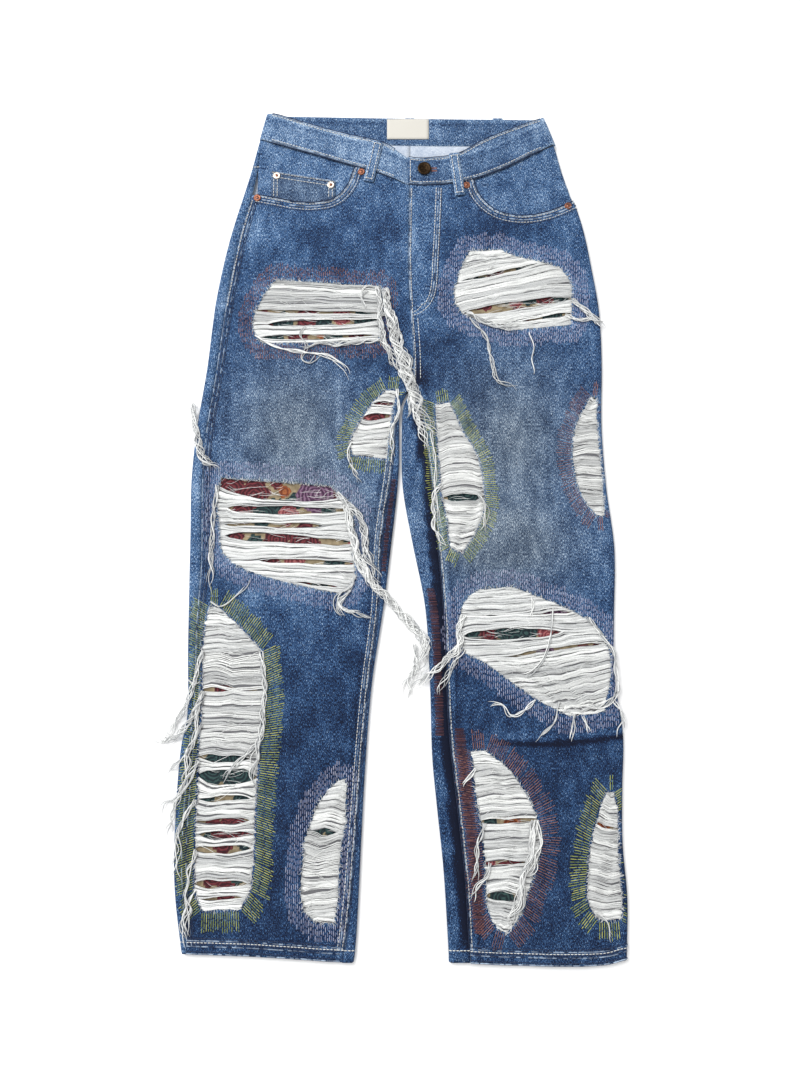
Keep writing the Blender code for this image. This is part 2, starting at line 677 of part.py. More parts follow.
def turned(name, profile, place, material, steps):
    """A turned piece: its profile runs from the axis over the top, down its side and back."""
    bm = bmesh.new()
    vertices = [bm.verts.new((radius, 0.0, height)) for radius, height in profile]
    for a, b in zip(vertices, vertices[1:]):
        bm.edges.new((a, b))
    mesh = bpy.data.meshes.new(name)
    bm.to_mesh(mesh)
    bm.free()
    piece = keep(bpy.data.objects.new(name, mesh), material)
    piece.location = place
    screw = piece.modifiers.new("turn", "SCREW")
    screw.steps = steps
    screw.render_steps = steps
    screw.use_merge_vertices = True
    screw.merge_threshold = 0.00005
    return piece


RIVET_STEPS, BUTTON_STEPS = 10, 16
RIVET_RADIUS = 0.0046
RIVET_PROFILE = ((0.0, 0.0012), (0.0012, 0.0015), (0.0020, 0.0007), (0.0038, 0.0010),
                 (RIVET_RADIUS, 0.0003), (RIVET_RADIUS, 0.0), (0.0, 0.0))
BUTTON_RADIUS = 0.0085
BUTTON_PROFILE = ((0.0, 0.0026), (0.0040, 0.0027), (0.0070, 0.0032), (BUTTON_RADIUS, 0.0026),
                  (BUTTON_RADIUS, 0.0016), (0.0045, 0.0010), (0.0035, 0.0), (0.0, 0.0))
RIVETS = (
    ("rivet_right_inner", -0.0450, 0.4270, 0.0),
    ("rivet_right_outer", -0.1745, 0.3915, 0.0),
    ("rivet_coin_outer", -0.1510, 0.4215, 0.0002),
    ("rivet_coin_inner", -0.0830, 0.4090, 0.0002),
    ("rivet_left_inner", 0.0870, 0.4090, 0.0),
    ("rivet_left_outer", 0.2130, 0.3810, 0.0),
)
BUTTON_PLACE = (0.034, 0.429)
BUTTON_LIFT = BAND_PROUD + LAYER_GAP + 0.0001


def hardware():
    for name, x, y, depth in RIVETS:
        place = on_top(x, y, depth - LAYER_GAP)
        turned(name, RIVET_PROFILE, place, COPPER, RIVET_STEPS)
    x, y = BUTTON_PLACE
    turned("button", BUTTON_PROFILE, on_top(x, y, -BUTTON_LIFT), DARK_BRASS, BUTTON_STEPS)


# Rips. Each has its left and right edge from the top down, and its gaps as the place across and
# down where each starts and stops, its height at the middle, and how far its middle hangs lower.
RIPS = {
    "right_thigh": dict(
        left=((-0.149, 0.284), (-0.161, 0.268), (-0.170, 0.250), (-0.175, 0.235), (-0.174, 0.217),
              (-0.164, 0.203)),
        right=((-0.020, 0.275), (-0.020, 0.261), (-0.021, 0.245), (-0.022, 0.230), (-0.022, 0.216),
               (-0.023, 0.206)),
        gaps=((0.03, 0.47, 0.97, 0.45, 0.0050, 0.0), (0.12, 0.68, 0.97, 0.55, 0.0090, 0.02),
              (0.03, 0.90, 0.97, 0.86, 0.0090, 0.0))),
    "right_inner_thigh": dict(
        left=((-0.013, 0.143), (-0.028, 0.129), (-0.042, 0.109), (-0.050, 0.093), (-0.056, 0.079),
              (-0.053, 0.064)),
        right=((0.000, 0.143), (-0.004, 0.128), (-0.007, 0.113), (-0.008, 0.098), (-0.011, 0.082),
               (-0.013, 0.059)),
        gaps=((0.04, 0.22, 0.96, 0.20, 0.0055, 0.0), (0.04, 0.39, 0.96, 0.42, 0.0090, 0.0))),
    "right_knee": dict(
        left=((-0.209, 0.036), (-0.213, 0.009), (-0.208, -0.027), (-0.204, -0.054),
              (-0.176, -0.074), (-0.128, -0.088)),
        right=((-0.080, 0.026), (-0.056, 0.003), (-0.052, -0.021), (-0.053, -0.051),
               (-0.049, -0.082), (-0.066, -0.102)),
        gaps=((0.03, 0.07, 0.97, 0.11, 0.0220, 0.03), (0.08, 0.25, 0.97, 0.25, 0.0120, 0.01),
              (0.04, 0.36, 0.75, 0.39, 0.0070, 0.0), (0.04, 0.44, 0.97, 0.54, 0.0130, 0.0),
              (0.24, 0.68, 0.97, 0.69, 0.0080, 0.0), (0.30, 0.94, 0.90, 0.93, 0.0048, 0.0))),
    "right_shin": dict(
        left=((-0.218, -0.117), (-0.222, -0.141), (-0.224, -0.169), (-0.223, -0.212),
              (-0.223, -0.245), (-0.225, -0.284), (-0.224, -0.323), (-0.225, -0.360),
              (-0.225, -0.398), (-0.224, -0.430), (-0.215, -0.452)),
        right=((-0.209, -0.117), (-0.182, -0.141), (-0.157, -0.167), (-0.152, -0.212),
               (-0.154, -0.245), (-0.157, -0.284), (-0.159, -0.323), (-0.160, -0.360),
               (-0.160, -0.398), (-0.163, -0.430), (-0.173, -0.450)),
        gaps=((0.06, 0.30, 0.46, 0.30, 0.0055, 0.0), (0.06, 0.51, 0.78, 0.51, 0.0080, 0.0),
              (0.06, 0.56, 0.94, 0.56, 0.0200, 0.0), (0.06, 0.63, 0.90, 0.62, 0.0075, 0.0),
              (0.06, 0.69, 0.90, 0.69, 0.0065, 0.0), (0.10, 0.73, 0.94, 0.73, 0.0070, 0.0),
              (0.06, 0.77, 0.94, 0.77, 0.0090, 0.0), (0.06, 0.88, 0.90, 0.88, 0.0120, 0.0),
              (0.06, 0.94, 0.90, 0.94, 0.0080, 0.0))),
    "right_ankle": dict(
        left=((-0.064, -0.312), (-0.075, -0.321), (-0.089, -0.338), (-0.095, -0.356),
              (-0.103, -0.377), (-0.104, -0.400), (-0.107, -0.425), (-0.104, -0.450),
              (-0.089, -0.464)),
        right=((-0.059, -0.312), (-0.057, -0.321), (-0.058, -0.338), (-0.057, -0.356),
               (-0.062, -0.377), (-0.064, -0.400), (-0.065, -0.425), (-0.066, -0.445),
               (-0.070, -0.465)),
        gaps=((0.28, 0.45, 0.80, 0.45, 0.0060, 0.0),)),
    "left_thigh": dict(
        left=((0.091, 0.322), (0.080, 0.302), (0.075, 0.284), (0.070, 0.268), (0.072, 0.254),
              (0.081, 0.240), (0.107, 0.230), (0.144, 0.220)),
        right=((0.127, 0.323), (0.148, 0.314), (0.180, 0.307), (0.203, 0.297), (0.214, 0.279),
               (0.214, 0.261), (0.214, 0.245), (0.211, 0.227)),
        gaps=((0.04, 0.31, 0.97, 0.29, 0.0050, 0.0), (0.04, 0.71, 0.97, 0.71, 0.0150, 0.0),
              (0.30, 0.91, 0.96, 0.88, 0.0055, 0.0))),
    "left_outer_thigh": dict(
        left=((0.234, 0.135), (0.223, 0.116), (0.216, 0.102), (0.211, 0.081), (0.210, 0.061),
              (0.212, 0.042), (0.216, 0.023), (0.226, 0.003), (0.237, -0.009)),
        right=((0.240, 0.134), (0.240, 0.116), (0.240, 0.099), (0.241, 0.081), (0.242, 0.061),
               (0.244, 0.042), (0.244, 0.023), (0.245, 0.005), (0.244, -0.009)),
        gaps=()),
    "left_inner_thigh": dict(
        left=((0.047, 0.126), (0.047, 0.107), (0.049, 0.086), (0.049, 0.067), (0.052, 0.050),
              (0.052, 0.031), (0.054, 0.009), (0.060, -0.011), (0.061, -0.030), (0.064, -0.047)),
        right=((0.062, 0.128), (0.072, 0.109), (0.080, 0.088), (0.092, 0.071), (0.099, 0.050),
               (0.101, 0.031), (0.104, 0.009), (0.100, -0.011), (0.091, -0.030), (0.076, -0.054)),
        gaps=((0.10, 0.66, 0.88, 0.64, 0.0100, 0.0),)),
    "left_knee": dict(
        left=((0.097, -0.097), (0.080, -0.109), (0.074, -0.126), (0.072, -0.146), (0.075, -0.167),
              (0.107, -0.184), (0.152, -0.218), (0.197, -0.241)),
        right=((0.134, -0.094), (0.166, -0.106), (0.207, -0.123), (0.230, -0.139),
               (0.243, -0.159), (0.246, -0.180), (0.244, -0.205), (0.235, -0.237)),
        gaps=((0.62, 0.30, 0.96, 0.28, 0.0050, 0.0), (0.04, 0.46, 0.72, 0.46, 0.0190, 0.0),
              (0.60, 0.50, 0.96, 0.42, 0.0060, 0.0), (0.28, 0.64, 0.96, 0.56, 0.0060, 0.0))),
    "left_shin": dict(
        left=((0.085, -0.280), (0.087, -0.295), (0.088, -0.317), (0.091, -0.340), (0.095, -0.360),
              (0.097, -0.382), (0.099, -0.403), (0.099, -0.428), (0.101, -0.451),
              (0.111, -0.470)),
        right=((0.099, -0.280), (0.121, -0.295), (0.139, -0.316), (0.152, -0.340),
               (0.159, -0.360), (0.160, -0.382), (0.156, -0.403), (0.146, -0.428),
               (0.139, -0.451), (0.122, -0.475)),
        gaps=((0.05, 0.43, 0.96, 0.41, 0.0070, 0.0), (0.06, 0.66, 0.80, 0.65, 0.0050, 0.0),
              (0.05, 0.82, 0.88, 0.82, 0.0095, 0.0))),
    "left_ankle": dict(
        left=((0.238, -0.325), (0.229, -0.342), (0.224, -0.360), (0.218, -0.378), (0.215, -0.396),
              (0.213, -0.414), (0.211, -0.432), (0.213, -0.447), (0.224, -0.461)),
        right=((0.243, -0.325), (0.247, -0.342), (0.248, -0.360), (0.247, -0.378),
               (0.247, -0.396), (0.248, -0.414), (0.249, -0.432), (0.249, -0.447),
               (0.247, -0.461)),
        gaps=((0.10, 0.24, 0.76, 0.28, 0.0048, 0.0),)),
}
RIP_STEPS = 10
RIP_CUT_FROM = 0.0024
WEFT_INSET = 0.0010
WEFT_DEPTH = 0.0002
WEFT_CLOTH = 0.0009
WEFT_ROW = 0.013
WEFT_COLUMNS = (0.0, 0.07, 0.28, 0.50, 0.72, 0.93, 1.0)
BAND_LEAST = 0.020
PATCH_DEPTH = 0.0020
PATCH_CLOTH = 0.0010
PATCH_MARGIN = 0.010


def leg_of(name):
    return RIGHT if name.startswith("right") else LEFT


def rip_edge(points):
    """A rip's edge as evenly spread corners on a smooth curve through its points."""
    places = [k / (len(points) - 1) for k in range(len(points))]
    along_x = smooth(list(zip(places, (x for x, _ in points))))
    along_y = smooth(list(zip(places, (y for _, y in points))))
    return [Vector((along_x(k / RIP_STEPS), along_y(k / RIP_STEPS))) for k in range(RIP_STEPS + 1)]


def edge_point(edge, f):
    """The place at fraction f down a rip's edge."""
    place = f * (len(edge) - 1)
    k = min(int(place), len(edge) - 2)
    return edge[k].lerp(edge[k + 1], place - k)


def inset_point(edge, f, inward):
    """The same place, moved into the rip by the weft's inset."""
    place = f * (len(edge) - 1)
    k = min(int(place), len(edge) - 2)
    heading = (edge[k + 1] - edge[k]).normalized()
    return edge_point(edge, f) + Vector((-heading.y, heading.x)) * inward * WEFT_INSET


def edge_length(points):
    return sum(math.dist(a, b) for a, b in zip(points, points[1:]))


def rip_cutter(name, rip):
    outline = rip_edge(rip["left"]) + rip_edge(rip["right"])[::-1]
    return prism("rip_" + name, [(p.x, p.y) for p in outline], RIP_CUT_FROM, CUT_HIGH)


def gap_edges(rip, length, u):
    """The gaps' upper and lower edges at place u across, as fractions down the rip."""
    edges = []
    for start_u, start_f, end_u, end_f, height, hang in rip["gaps"]:
        s = min(max((u - start_u) / (end_u - start_u), 0.0), 1.0)
        middle = lerp(start_f, end_f, s) + hang * 4 * s * (1 - s)
        half = height / length / 2 * (4 * s * (1 - s)) ** 0.6
        edges += [middle - half, middle + half]
    floor = 0.0
    for k in range(len(edges)):
        least = floor + (BAND_LEAST if k % 2 == 0 else 0.0)
        edges[k] = max(edges[k], least)
        floor = edges[k]
    ceiling = 1.0
    for k in range(len(edges) - 1, -1, -1):
        most = ceiling - (BAND_LEAST if k % 2 else 0.0)
        edges[k] = min(edges[k], most)
        ceiling = edges[k]
    return edges


def weft(name, rip):
    """The threads left across a rip: bands of them, with the gaps wider than 4 mm open between."""
    left, right = rip_edge(rip["left"]), rip_edge(rip["right"])
    length = max(edge_length(rip["left"]), edge_length(rip["right"]))
    middle = [0.0] + gap_edges(rip, length, 0.5) + [1.0]
    row_counts = [max(1, math.ceil((middle[k + 1] - middle[k]) * length / WEFT_ROW))
                  for k in range(0, len(middle), 2)]
    table = {}
    for u in WEFT_COLUMNS:
        edges = [WEFT_INSET / length] + gap_edges(rip, length, u) + [1 - WEFT_INSET / length]
        fractions = []
        for k, rows_here in enumerate(row_counts):
            fractions += [lerp(edges[2 * k], edges[2 * k + 1], j / rows_here)
                          for j in range(rows_here + 1)]
        table[u] = fractions
    count = len(table[0.0])
    rows = []
    for k in range(count - 1, -1, -1):
        row = []
        for u in WEFT_COLUMNS:
            f = table[u][k]
            place = inset_point(left, f, 1).lerp(inset_point(right, f, -1), u)
            row.append(on_top(place.x, place.y, WEFT_DEPTH))
        rows.append(row)
    bm = grid_mesh(rows)
    open_cells = []
    wide = len(WEFT_COLUMNS) - 1
    bm.faces.ensure_lookup_table()
    row_from_top = 0
    for gap, rows_here in zip(rip["gaps"], row_counts):
        row_from_top += rows_here
        row = count - 2 - row_from_top
        row_from_top += 1
        for column in range(1, wide - 1):
            middle = (WEFT_COLUMNS[column] + WEFT_COLUMNS[column + 1]) / 2
            if gap[0] < middle < gap[2]:
                open_cells.append(bm.faces[row * wide + column])
    bmesh.ops.delete(bm, geom=open_cells, context="FACES")
    bmesh.ops.remove_doubles(bm, verts=bm.verts, dist=0.00002)
    return cloth("weft_" + name, None, WEFT_WHITE, WEFT_CLOTH, bm)


def patch(name, rip):
    """The tapestry behind a rip."""
    leg = leg_of(name)
    left, right = rip_edge(rip["left"]), rip_edge(rip["right"])
    rows = []
    for k in range(4, -1, -1):
        a, b = edge_point(left, k / 4), edge_point(right, k / 4)
        shift = PATCH_MARGIN * (1 if k == 0 else -1 if k == 4 else 0)
        row = []
        for j in range(4):
            x = lerp(a.x - PATCH_MARGIN, b.x + PATCH_MARGIN, j / 3)
            y = lerp(a.y, b.y, j / 3) + shift
            limits = sorted((leg.outer.start(y), leg.inner.start(y)))
            if y > CROTCH:
                limits = (RIGHT_OUTER.start(y), LEFT_OUTER.start(y))
            level = underside(y) + FLAT_HEIGHT - PATCH_DEPTH
            row.append(Vector((min(max(x, limits[0]), limits[1]), y, level)))
        rows.append(row)
    return cloth("patch_" + name, rows, TAPESTRY, PATCH_CLOTH)


# Hanging threads. Each is a narrow strip by a rip's edge, with strands that lead off from it.
STRAND_WIDTH = 0.0026
STRAND_HEIGHT = 0.0015
STRAND_PITCH = 0.0036
STRAND_LIFT = 0.0006
STRIP_WIDTH = 0.0030
FLOOR_CLEAR = 0.0005
EDGE_DROP = 0.009
SAMPLE = 0.003
STRAY = 0.00035


def cover(x, y):
    """The height that a loose thread rests on, easing from the garment's edge to the floor."""
    outside = -inside_edge(x, y)
    if outside <= 0:
        return topside(x, y)
    if outside >= EDGE_DROP:
        return 0.0
    return (underside(y) + FLAT_HEIGHT) * (1 - (outside / EDGE_DROP) ** 2)


def route(points):
    """A strand's centre line over what it lies on, with only the points that it needs."""
    places = [0.0]
    for a, b in zip(points, points[1:]):
        places.append(places[-1] + math.dist(a, b))
    along_x = smooth(list(zip(places, (x for x, _ in points))))
    along_y = smooth(list(zip(places, (y for _, y in points))))
    count = max(2, round(places[-1] / SAMPLE))
    line = []
    for k in range(count + 1):
        x, y = along_x(places[-1] * k / count), along_y(places[-1] * k / count)
        height = max(cover(x, y) + STRAND_LIFT, FLOOR_CLEAR) + STRAND_HEIGHT / 2
        line.append(Vector((x, y, height)))

    def needed(first, last):
        if last - first < 2:
            return []
        chord = line[last] - line[first]
        strays = [(line[k] - line[first] - chord * (k - first) / (last - first)).length
                  for k in range(first + 1, last)]
        worst = max(strays)
        if worst < STRAY:
            return []
        split = first + 1 + strays.index(worst)
        return needed(first, split) + [split] + needed(split, last)

    return [line[k] for k in [0] + needed(0, count) + [count]]


def sideways(points, shift, spread):
    """The same route moved aside by shift, and by spread more at its end."""
    moved = []
    for k, (x, y) in enumerate(points):
        before, after = points[max(k - 1, 0)], points[min(k + 1, len(points) - 1)]
        heading = Vector((after[0] - before[0], after[1] - before[1])).normalized()
        f = k / (len(points) - 1)
        amount = shift * (1 + spread * f)
        moved.append((x - heading.y * amount, y + heading.x * amount))
    return moved


def fringe(name, strip, strands):
    """A strip through the given points with one strand for each of its stretches."""
    count = len(strip) - 1
    bm = bmesh.new()
    bmesh.ops.create_grid(bm, x_segments=count, y_segments=1, size=1.0)
    bmesh.ops.solidify(bm, geom=bm.faces[:], thickness=1.0)
    bm.normal_update()
    roots = sorted((f for f in bm.faces if f.normal.y > 0.9), key=lambda f: f.calc_center_median().x)
    middle = sum(vertex.co.z for vertex in bm.verts) / len(bm.verts)
    for vertex in bm.verts:
        k = round((vertex.co.x + 1) / 2 * count)
        before, after = strip[max(k - 1, 0)], strip[min(k + 1, count)]
        heading = Vector((after[0] - before[0], after[1] - before[1])).normalized()
        across_strip = Vector((-heading.y, heading.x)) * STRIP_WIDTH / 2 * vertex.co.y
        x, y = strip[k][0] + across_strip.x, strip[k][1] + across_strip.y
        level = STRAND_HEIGHT if vertex.co.z > middle else 0.0
        vertex.co = (x, y, cover(*strip[k]) + STRAND_LIFT + level)
    for face, points in zip(roots, strands):
        line = route(points)
        centre = face.calc_center_median()
        aside = Vector((face.verts[0].co.x - centre.x, face.verts[0].co.y - centre.y, 0)).normalized()
        corners = {}
        grown = face
        for k in range(1, len(line)):
            before, after = line[k - 1], line[min(k + 1, len(line) - 1)]
            heading = (after - before).normalized()
            normal = Vector((-heading.y, heading.x, 0)).normalized()
            if normal.dot(aside) < 0:
                normal.negate()
            aside = normal
            if not corners:
                corners = {v: ((v.co - centre).dot(aside) > 0, v.co.z > centre.z) for v in face.verts}
            grown = bmesh.ops.extrude_discrete_faces(bm, faces=[grown])["faces"][0]
            taper = 1.0 if k < len(line) - 1 else 0.5
            moved = {}
            for vertex in grown.verts:
                root = min(corners, key=lambda v: (v.co - vertex.co).length)
                moved[vertex] = corners[root]
            for vertex, (on_side, on_high) in moved.items():
                half_width = STRAND_WIDTH / 2 * taper * (1 if on_side else -1)
                half_height = STRAND_HEIGHT / 2 * (1 if on_high else -1)
                vertex.co = line[k] + aside * half_width + Vector((0, 0, half_height))
            corners = moved
    mesh = bpy.data.meshes.new(name)
    bm.to_mesh(mesh)
    bm.free()
    return keep(bpy.data.objects.new(name, mesh), WEFT_WHITE)


BUNDLE_SPREAD = 0.3


def bundle(name, points, lengths):
    """Strands side by side along one route; lengths are the shares of it that each has."""
    count = len(lengths)
    start, second = points[0], points[1]
    heading = Vector((second[0] - start[0], second[1] - start[1])).normalized()
    strip = []
    for k in range(count + 1):
        amount = (k - count / 2) * STRAND_PITCH
        back = STRIP_WIDTH / 2
        strip.append((start[0] + heading.y * amount - heading.x * back,
                      start[1] - heading.x * amount - heading.y * back))
    strands = []
    for k, share in enumerate(lengths):
        line = sideways(points, -(k - (count - 1) / 2) * STRAND_PITCH, BUNDLE_SPREAD)
        kept = max(2, round(share * (len(line) - 1)) + 1)
        strands.append(line[:kept])
    return fringe(name, strip, strands)


BUNDLES = (
    ("fringe_right_thigh",
     ((-0.014, 0.266), (-0.010, 0.239), (-0.003, 0.207), (0.010, 0.171), (0.020, 0.141),
      (0.032, 0.113), (0.041, 0.090)), (0.7, 1.0, 1.0, 0.85)),
    ("fringe_right_thigh_low",
     ((-0.171, 0.193), (-0.150, 0.190), (-0.118, 0.188), (-0.080, 0.181), (-0.064, 0.168),
      (-0.060, 0.150)), (1.0, 0.8)),
    ("fringe_right_outer",
     ((-0.236, 0.118), (-0.238, 0.100), (-0.233, 0.074), (-0.224, 0.056), (-0.215, 0.046)),
     (1.0, 1.0, 0.8)),
    ("fringe_right_knee",
     ((-0.046, -0.010), (-0.043, -0.036), (-0.036, -0.064), (-0.024, -0.088), (-0.008, -0.106),
      (0.010, -0.128), (0.026, -0.150), (0.033, -0.168), (0.025, -0.192), (0.008, -0.211)),
     (0.8, 1.0, 1.0)),
    ("fringe_left_knee",
     ((0.066, -0.158), (0.056, -0.174), (0.046, -0.188), (0.036, -0.204), (0.022, -0.220)),
     (1.0, 0.8, 1.0)),
    ("fringe_left_thigh",
     ((0.219, 0.262), (0.228, 0.247), (0.236, 0.236), (0.246, 0.227), (0.257, 0.221)),
     (1.0, 1.0, 0.8)),
    ("fringe_left_thigh_low",
     ((0.092, 0.224), (0.106, 0.208), (0.114, 0.188), (0.118, 0.166), (0.130, 0.151),
      (0.146, 0.144)), (1.0, 0.7)),
    ("fringe_left_shin",
     ((0.154, -0.405), (0.149, -0.424), (0.143, -0.444), (0.134, -0.464), (0.124, -0.484)),
     (0.8, 1.0, 1.0)),
)
SHIN_STRIP = ((-0.2310, -0.158), (-0.2310, -0.190), (-0.2310, -0.222), (-0.2318, -0.254),
              (-0.2330, -0.286), (-0.2330, -0.318), (-0.2330, -0.350), (-0.2335, -0.382),
              (-0.2325, -0.414), (-0.2290, -0.446))
SHIN_STRANDS = (
    ((-0.233, -0.174), (-0.242, -0.200), (-0.252, -0.222), (-0.262, -0.240)),
    ((-0.233, -0.206), (-0.244, -0.232), (-0.257, -0.255), (-0.270, -0.276)),
    ((-0.233, -0.238), (-0.243, -0.258), (-0.254, -0.282), (-0.257, -0.300)),
    ((-0.235, -0.270), (-0.245, -0.292), (-0.258, -0.318), (-0.267, -0.334)),
    ((-0.235, -0.302), (-0.246, -0.322), (-0.259, -0.350), (-0.260, -0.374)),
    ((-0.235, -0.334), (-0.247, -0.356), (-0.261, -0.388), (-0.258, -0.410)),
    ((-0.235, -0.366), (-0.245, -0.388), (-0.254, -0.418), (-0.250, -0.446)),
    ((-0.235, -0.398), (-0.243, -0.420), (-0.249, -0.452), (-0.244, -0.480)),
    ((-0.233, -0.430), (-0.238, -0.448), (-0.236, -0.470), (-0.240, -0.490)),
)
KNEE_STRIP = ((0.228, -0.250), (0.212, -0.2505), (0.190, -0.2470), (0.170, -0.2365),
              (0.150, -0.2255))
KNEE_STRANDS = (
    ((0.2195, -0.2525), (0.221, -0.262), (0.224, -0.272)),
    ((0.2010, -0.2500), (0.200, -0.260), (0.197, -0.272)),
    ((0.1800, -0.2430), (0.176, -0.254), (0.166, -0.264), (0.153, -0.271)),
    ((0.1600, -0.2320), (0.147, -0.241), (0.130, -0.243), (0.117, -0.233), (0.105, -0.231),
     (0.096, -0.240)),
)


def build():
    panels = {}
    for leg in LEGS:
        panels[leg] = front_panel(leg)
        back_panel(leg)
        yoke(leg)
    waistband()
    cut(panels[RIGHT], mouth_cutter(RIGHT, RIGHT_POCKET_MOUTH, -0.0525, -0.176))
    cut(panels[LEFT], mouth_cutter(LEFT, LEFT_POCKET_MOUTH, 0.094, 0.224))
    facing(RIGHT, RIGHT_POCKET_MOUTH, -0.040)
    facing(LEFT, LEFT_POCKET_MOUTH, 0.086)
    coin_pocket()
    fly_shield()
    front_loop("belt_loop_front_right", (-0.024, 0.466), (-0.036, 0.413))
    front_loop("belt_loop_front_left", (0.071, 0.4505), (0.0785, 0.3945))
    for name, x in (("right", -0.100), ("centre", 0.016), ("left", 0.128)):
        back_loop("belt_loop_back_" + name, x)
    back_pocket(RIGHT, -0.080)
    back_pocket(LEFT, 0.114)
    inner_label()
    hardware()
    for name, rip in RIPS.items():
        cut(panels[leg_of(name)], rip_cutter(name, rip))
        weft(name, rip)
        patch(name, rip)
    for name, points, lengths in BUNDLES:
        bundle(name, points, lengths)
    fringe("fringe_right_shin", SHIN_STRIP[::-1], SHIN_STRANDS[::-1])
    fringe("fringe_left_knee_low", KNEE_STRIP, KNEE_STRANDS)


build()
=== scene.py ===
"""Ripped five-pocket jeans laid flat: denim, sewing, frayed rips over tapestry, and the studio.

Metres, in the part's frame: the waist is toward +Y, the front faces +Z, and right is the wearer's.
Garment positions are written before the shift that centres the part.
"""
import math
import random
from bisect import bisect_right

import bpy
import numpy as np
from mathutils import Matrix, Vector, kdtree, noise
from mathutils.geometry import delaunay_2d_cdt


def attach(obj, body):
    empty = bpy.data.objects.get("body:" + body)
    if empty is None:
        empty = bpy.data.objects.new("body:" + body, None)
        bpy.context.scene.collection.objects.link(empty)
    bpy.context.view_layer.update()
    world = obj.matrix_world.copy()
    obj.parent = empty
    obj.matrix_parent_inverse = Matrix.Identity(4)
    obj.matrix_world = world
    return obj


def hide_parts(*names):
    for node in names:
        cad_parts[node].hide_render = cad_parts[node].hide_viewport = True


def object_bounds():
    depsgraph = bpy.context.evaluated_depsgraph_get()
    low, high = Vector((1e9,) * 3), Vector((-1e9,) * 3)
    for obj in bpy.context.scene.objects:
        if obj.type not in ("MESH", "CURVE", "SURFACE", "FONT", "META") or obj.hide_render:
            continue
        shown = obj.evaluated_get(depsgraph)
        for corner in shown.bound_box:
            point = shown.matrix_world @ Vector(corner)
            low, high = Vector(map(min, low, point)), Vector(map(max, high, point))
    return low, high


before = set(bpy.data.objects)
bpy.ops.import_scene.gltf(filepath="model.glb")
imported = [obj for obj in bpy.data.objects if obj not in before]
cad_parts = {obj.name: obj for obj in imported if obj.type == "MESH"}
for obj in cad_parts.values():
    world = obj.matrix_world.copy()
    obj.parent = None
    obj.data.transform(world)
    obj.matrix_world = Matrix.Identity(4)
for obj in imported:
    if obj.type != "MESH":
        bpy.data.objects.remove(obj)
CAD_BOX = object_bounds()

# Driving sizes, as in the solids
SHIFT = Vector((0.0055, 0.0022, 0.0))
DENIM = 0.0012
BAND_CLOTH = 0.0022
LAYER_GAP = 0.0003
FLAT_HEIGHT = 0.0059
FOLD_RADIUS = FLAT_HEIGHT / 2
HALF_TURN = math.pi * FOLD_RADIUS
SEAT_LIFT = 0.0015
BAND_LIFT = 0.0022
BAND_PROUD = 0.0007
CROTCH = 0.150
LEFT_OUTSEAM_BENEATH = 0.008
FLY_LAP = 0.0008
SEAM = 0.0003


def smooth(knots):
    """A smooth curve through (place, value) knots, level past its ends."""
    knots = sorted(knots)
    places = [place for place, _ in knots]
    values = [value for _, value in knots]
    last = len(knots) - 1
    slopes = []
    for index in range(last + 1):
        before, after = max(index - 1, 0), min(index + 1, last)
        slopes.append((values[after] - values[before]) / (places[after] - places[before]))

    def curve(place):
        if place <= places[0]:
            return values[0]
        if place >= places[-1]:
            return values[-1]
        index = bisect_right(places, place) - 1
        span = places[index + 1] - places[index]
        f = (place - places[index]) / span
        return (values[index] * (1 + 2 * f) * (1 - f) ** 2
                + slopes[index] * span * f * (1 - f) ** 2
                + values[index + 1] * f * f * (3 - 2 * f)
                + slopes[index + 1] * span * f * f * (f - 1))

    return curve


def across(points):
    """A curve that gives y from x."""
    return smooth(points)


def down(points):
    """A curve that gives x from y."""
    return smooth([(y, x) for x, y in points])


def ease(value, low, high):
    """0 below low, 1 above high, and soft between."""
    f = min(max((value - low) / (high - low), 0.0), 1.0)
    return f * f * (3 - 2 * f)


def lerp(start, stop, f):
    return start + (stop - start) * f


def near(value, middle, width):
    """1 at the middle, falling off over about the width."""
    return math.exp(-((value - middle) / width) ** 2)


# Edges and seams, as (x, y)
RIGHT_OUTER_LINE = down([(-0.165, 0.505), (-0.174, 0.468), (-0.185, 0.422), (-0.208, 0.336),
                         (-0.223, 0.253), (-0.231, 0.171), (-0.241, 0.094), (-0.245, 0.033),
                         (-0.244, -0.027), (-0.242, -0.163), (-0.240, -0.240), (-0.246, -0.278),
                         (-0.249, -0.340), (-0.249, -0.400), (-0.246, -0.440), (-0.237, -0.497)])
RIGHT_INNER_LINE = down([(0.0200, 0.150), (0.0110, 0.138), (0.0050, 0.125), (0.0028, 0.113),
                         (0.002, 0.042), (-0.007, -0.046), (-0.016, -0.119), (-0.029, -0.207),
                         (-0.036, -0.301), (-0.040, -0.380), (-0.044, -0.470), (-0.047, -0.507)])
LEFT_INNER_LINE = down([(0.0206, 0.150), (0.0136, 0.138), (0.0082, 0.126), (0.0060, 0.113),
                        (0.0055, 0.042), (0.009, 0.007), (0.019, -0.046), (0.033, -0.119),
                        (0.038, -0.207), (0.040, -0.286), (0.045, -0.341), (0.052, -0.410),
                        (0.057, -0.497)])
LEFT_OUTER_LINE = down([(0.186, 0.500), (0.199, 0.464), (0.210, 0.422), (0.230, 0.357),
                        (0.241, 0.294), (0.248, 0.240), (0.249, 0.180), (0.246, 0.100),
                        (0.249, 0.025), (0.256, -0.050), (0.252, -0.140), (0.251, -0.200),
                        (0.258, -0.262), (0.255, -0.320), (0.253, -0.380), (0.256, -0.440),
                        (0.253, -0.501)])
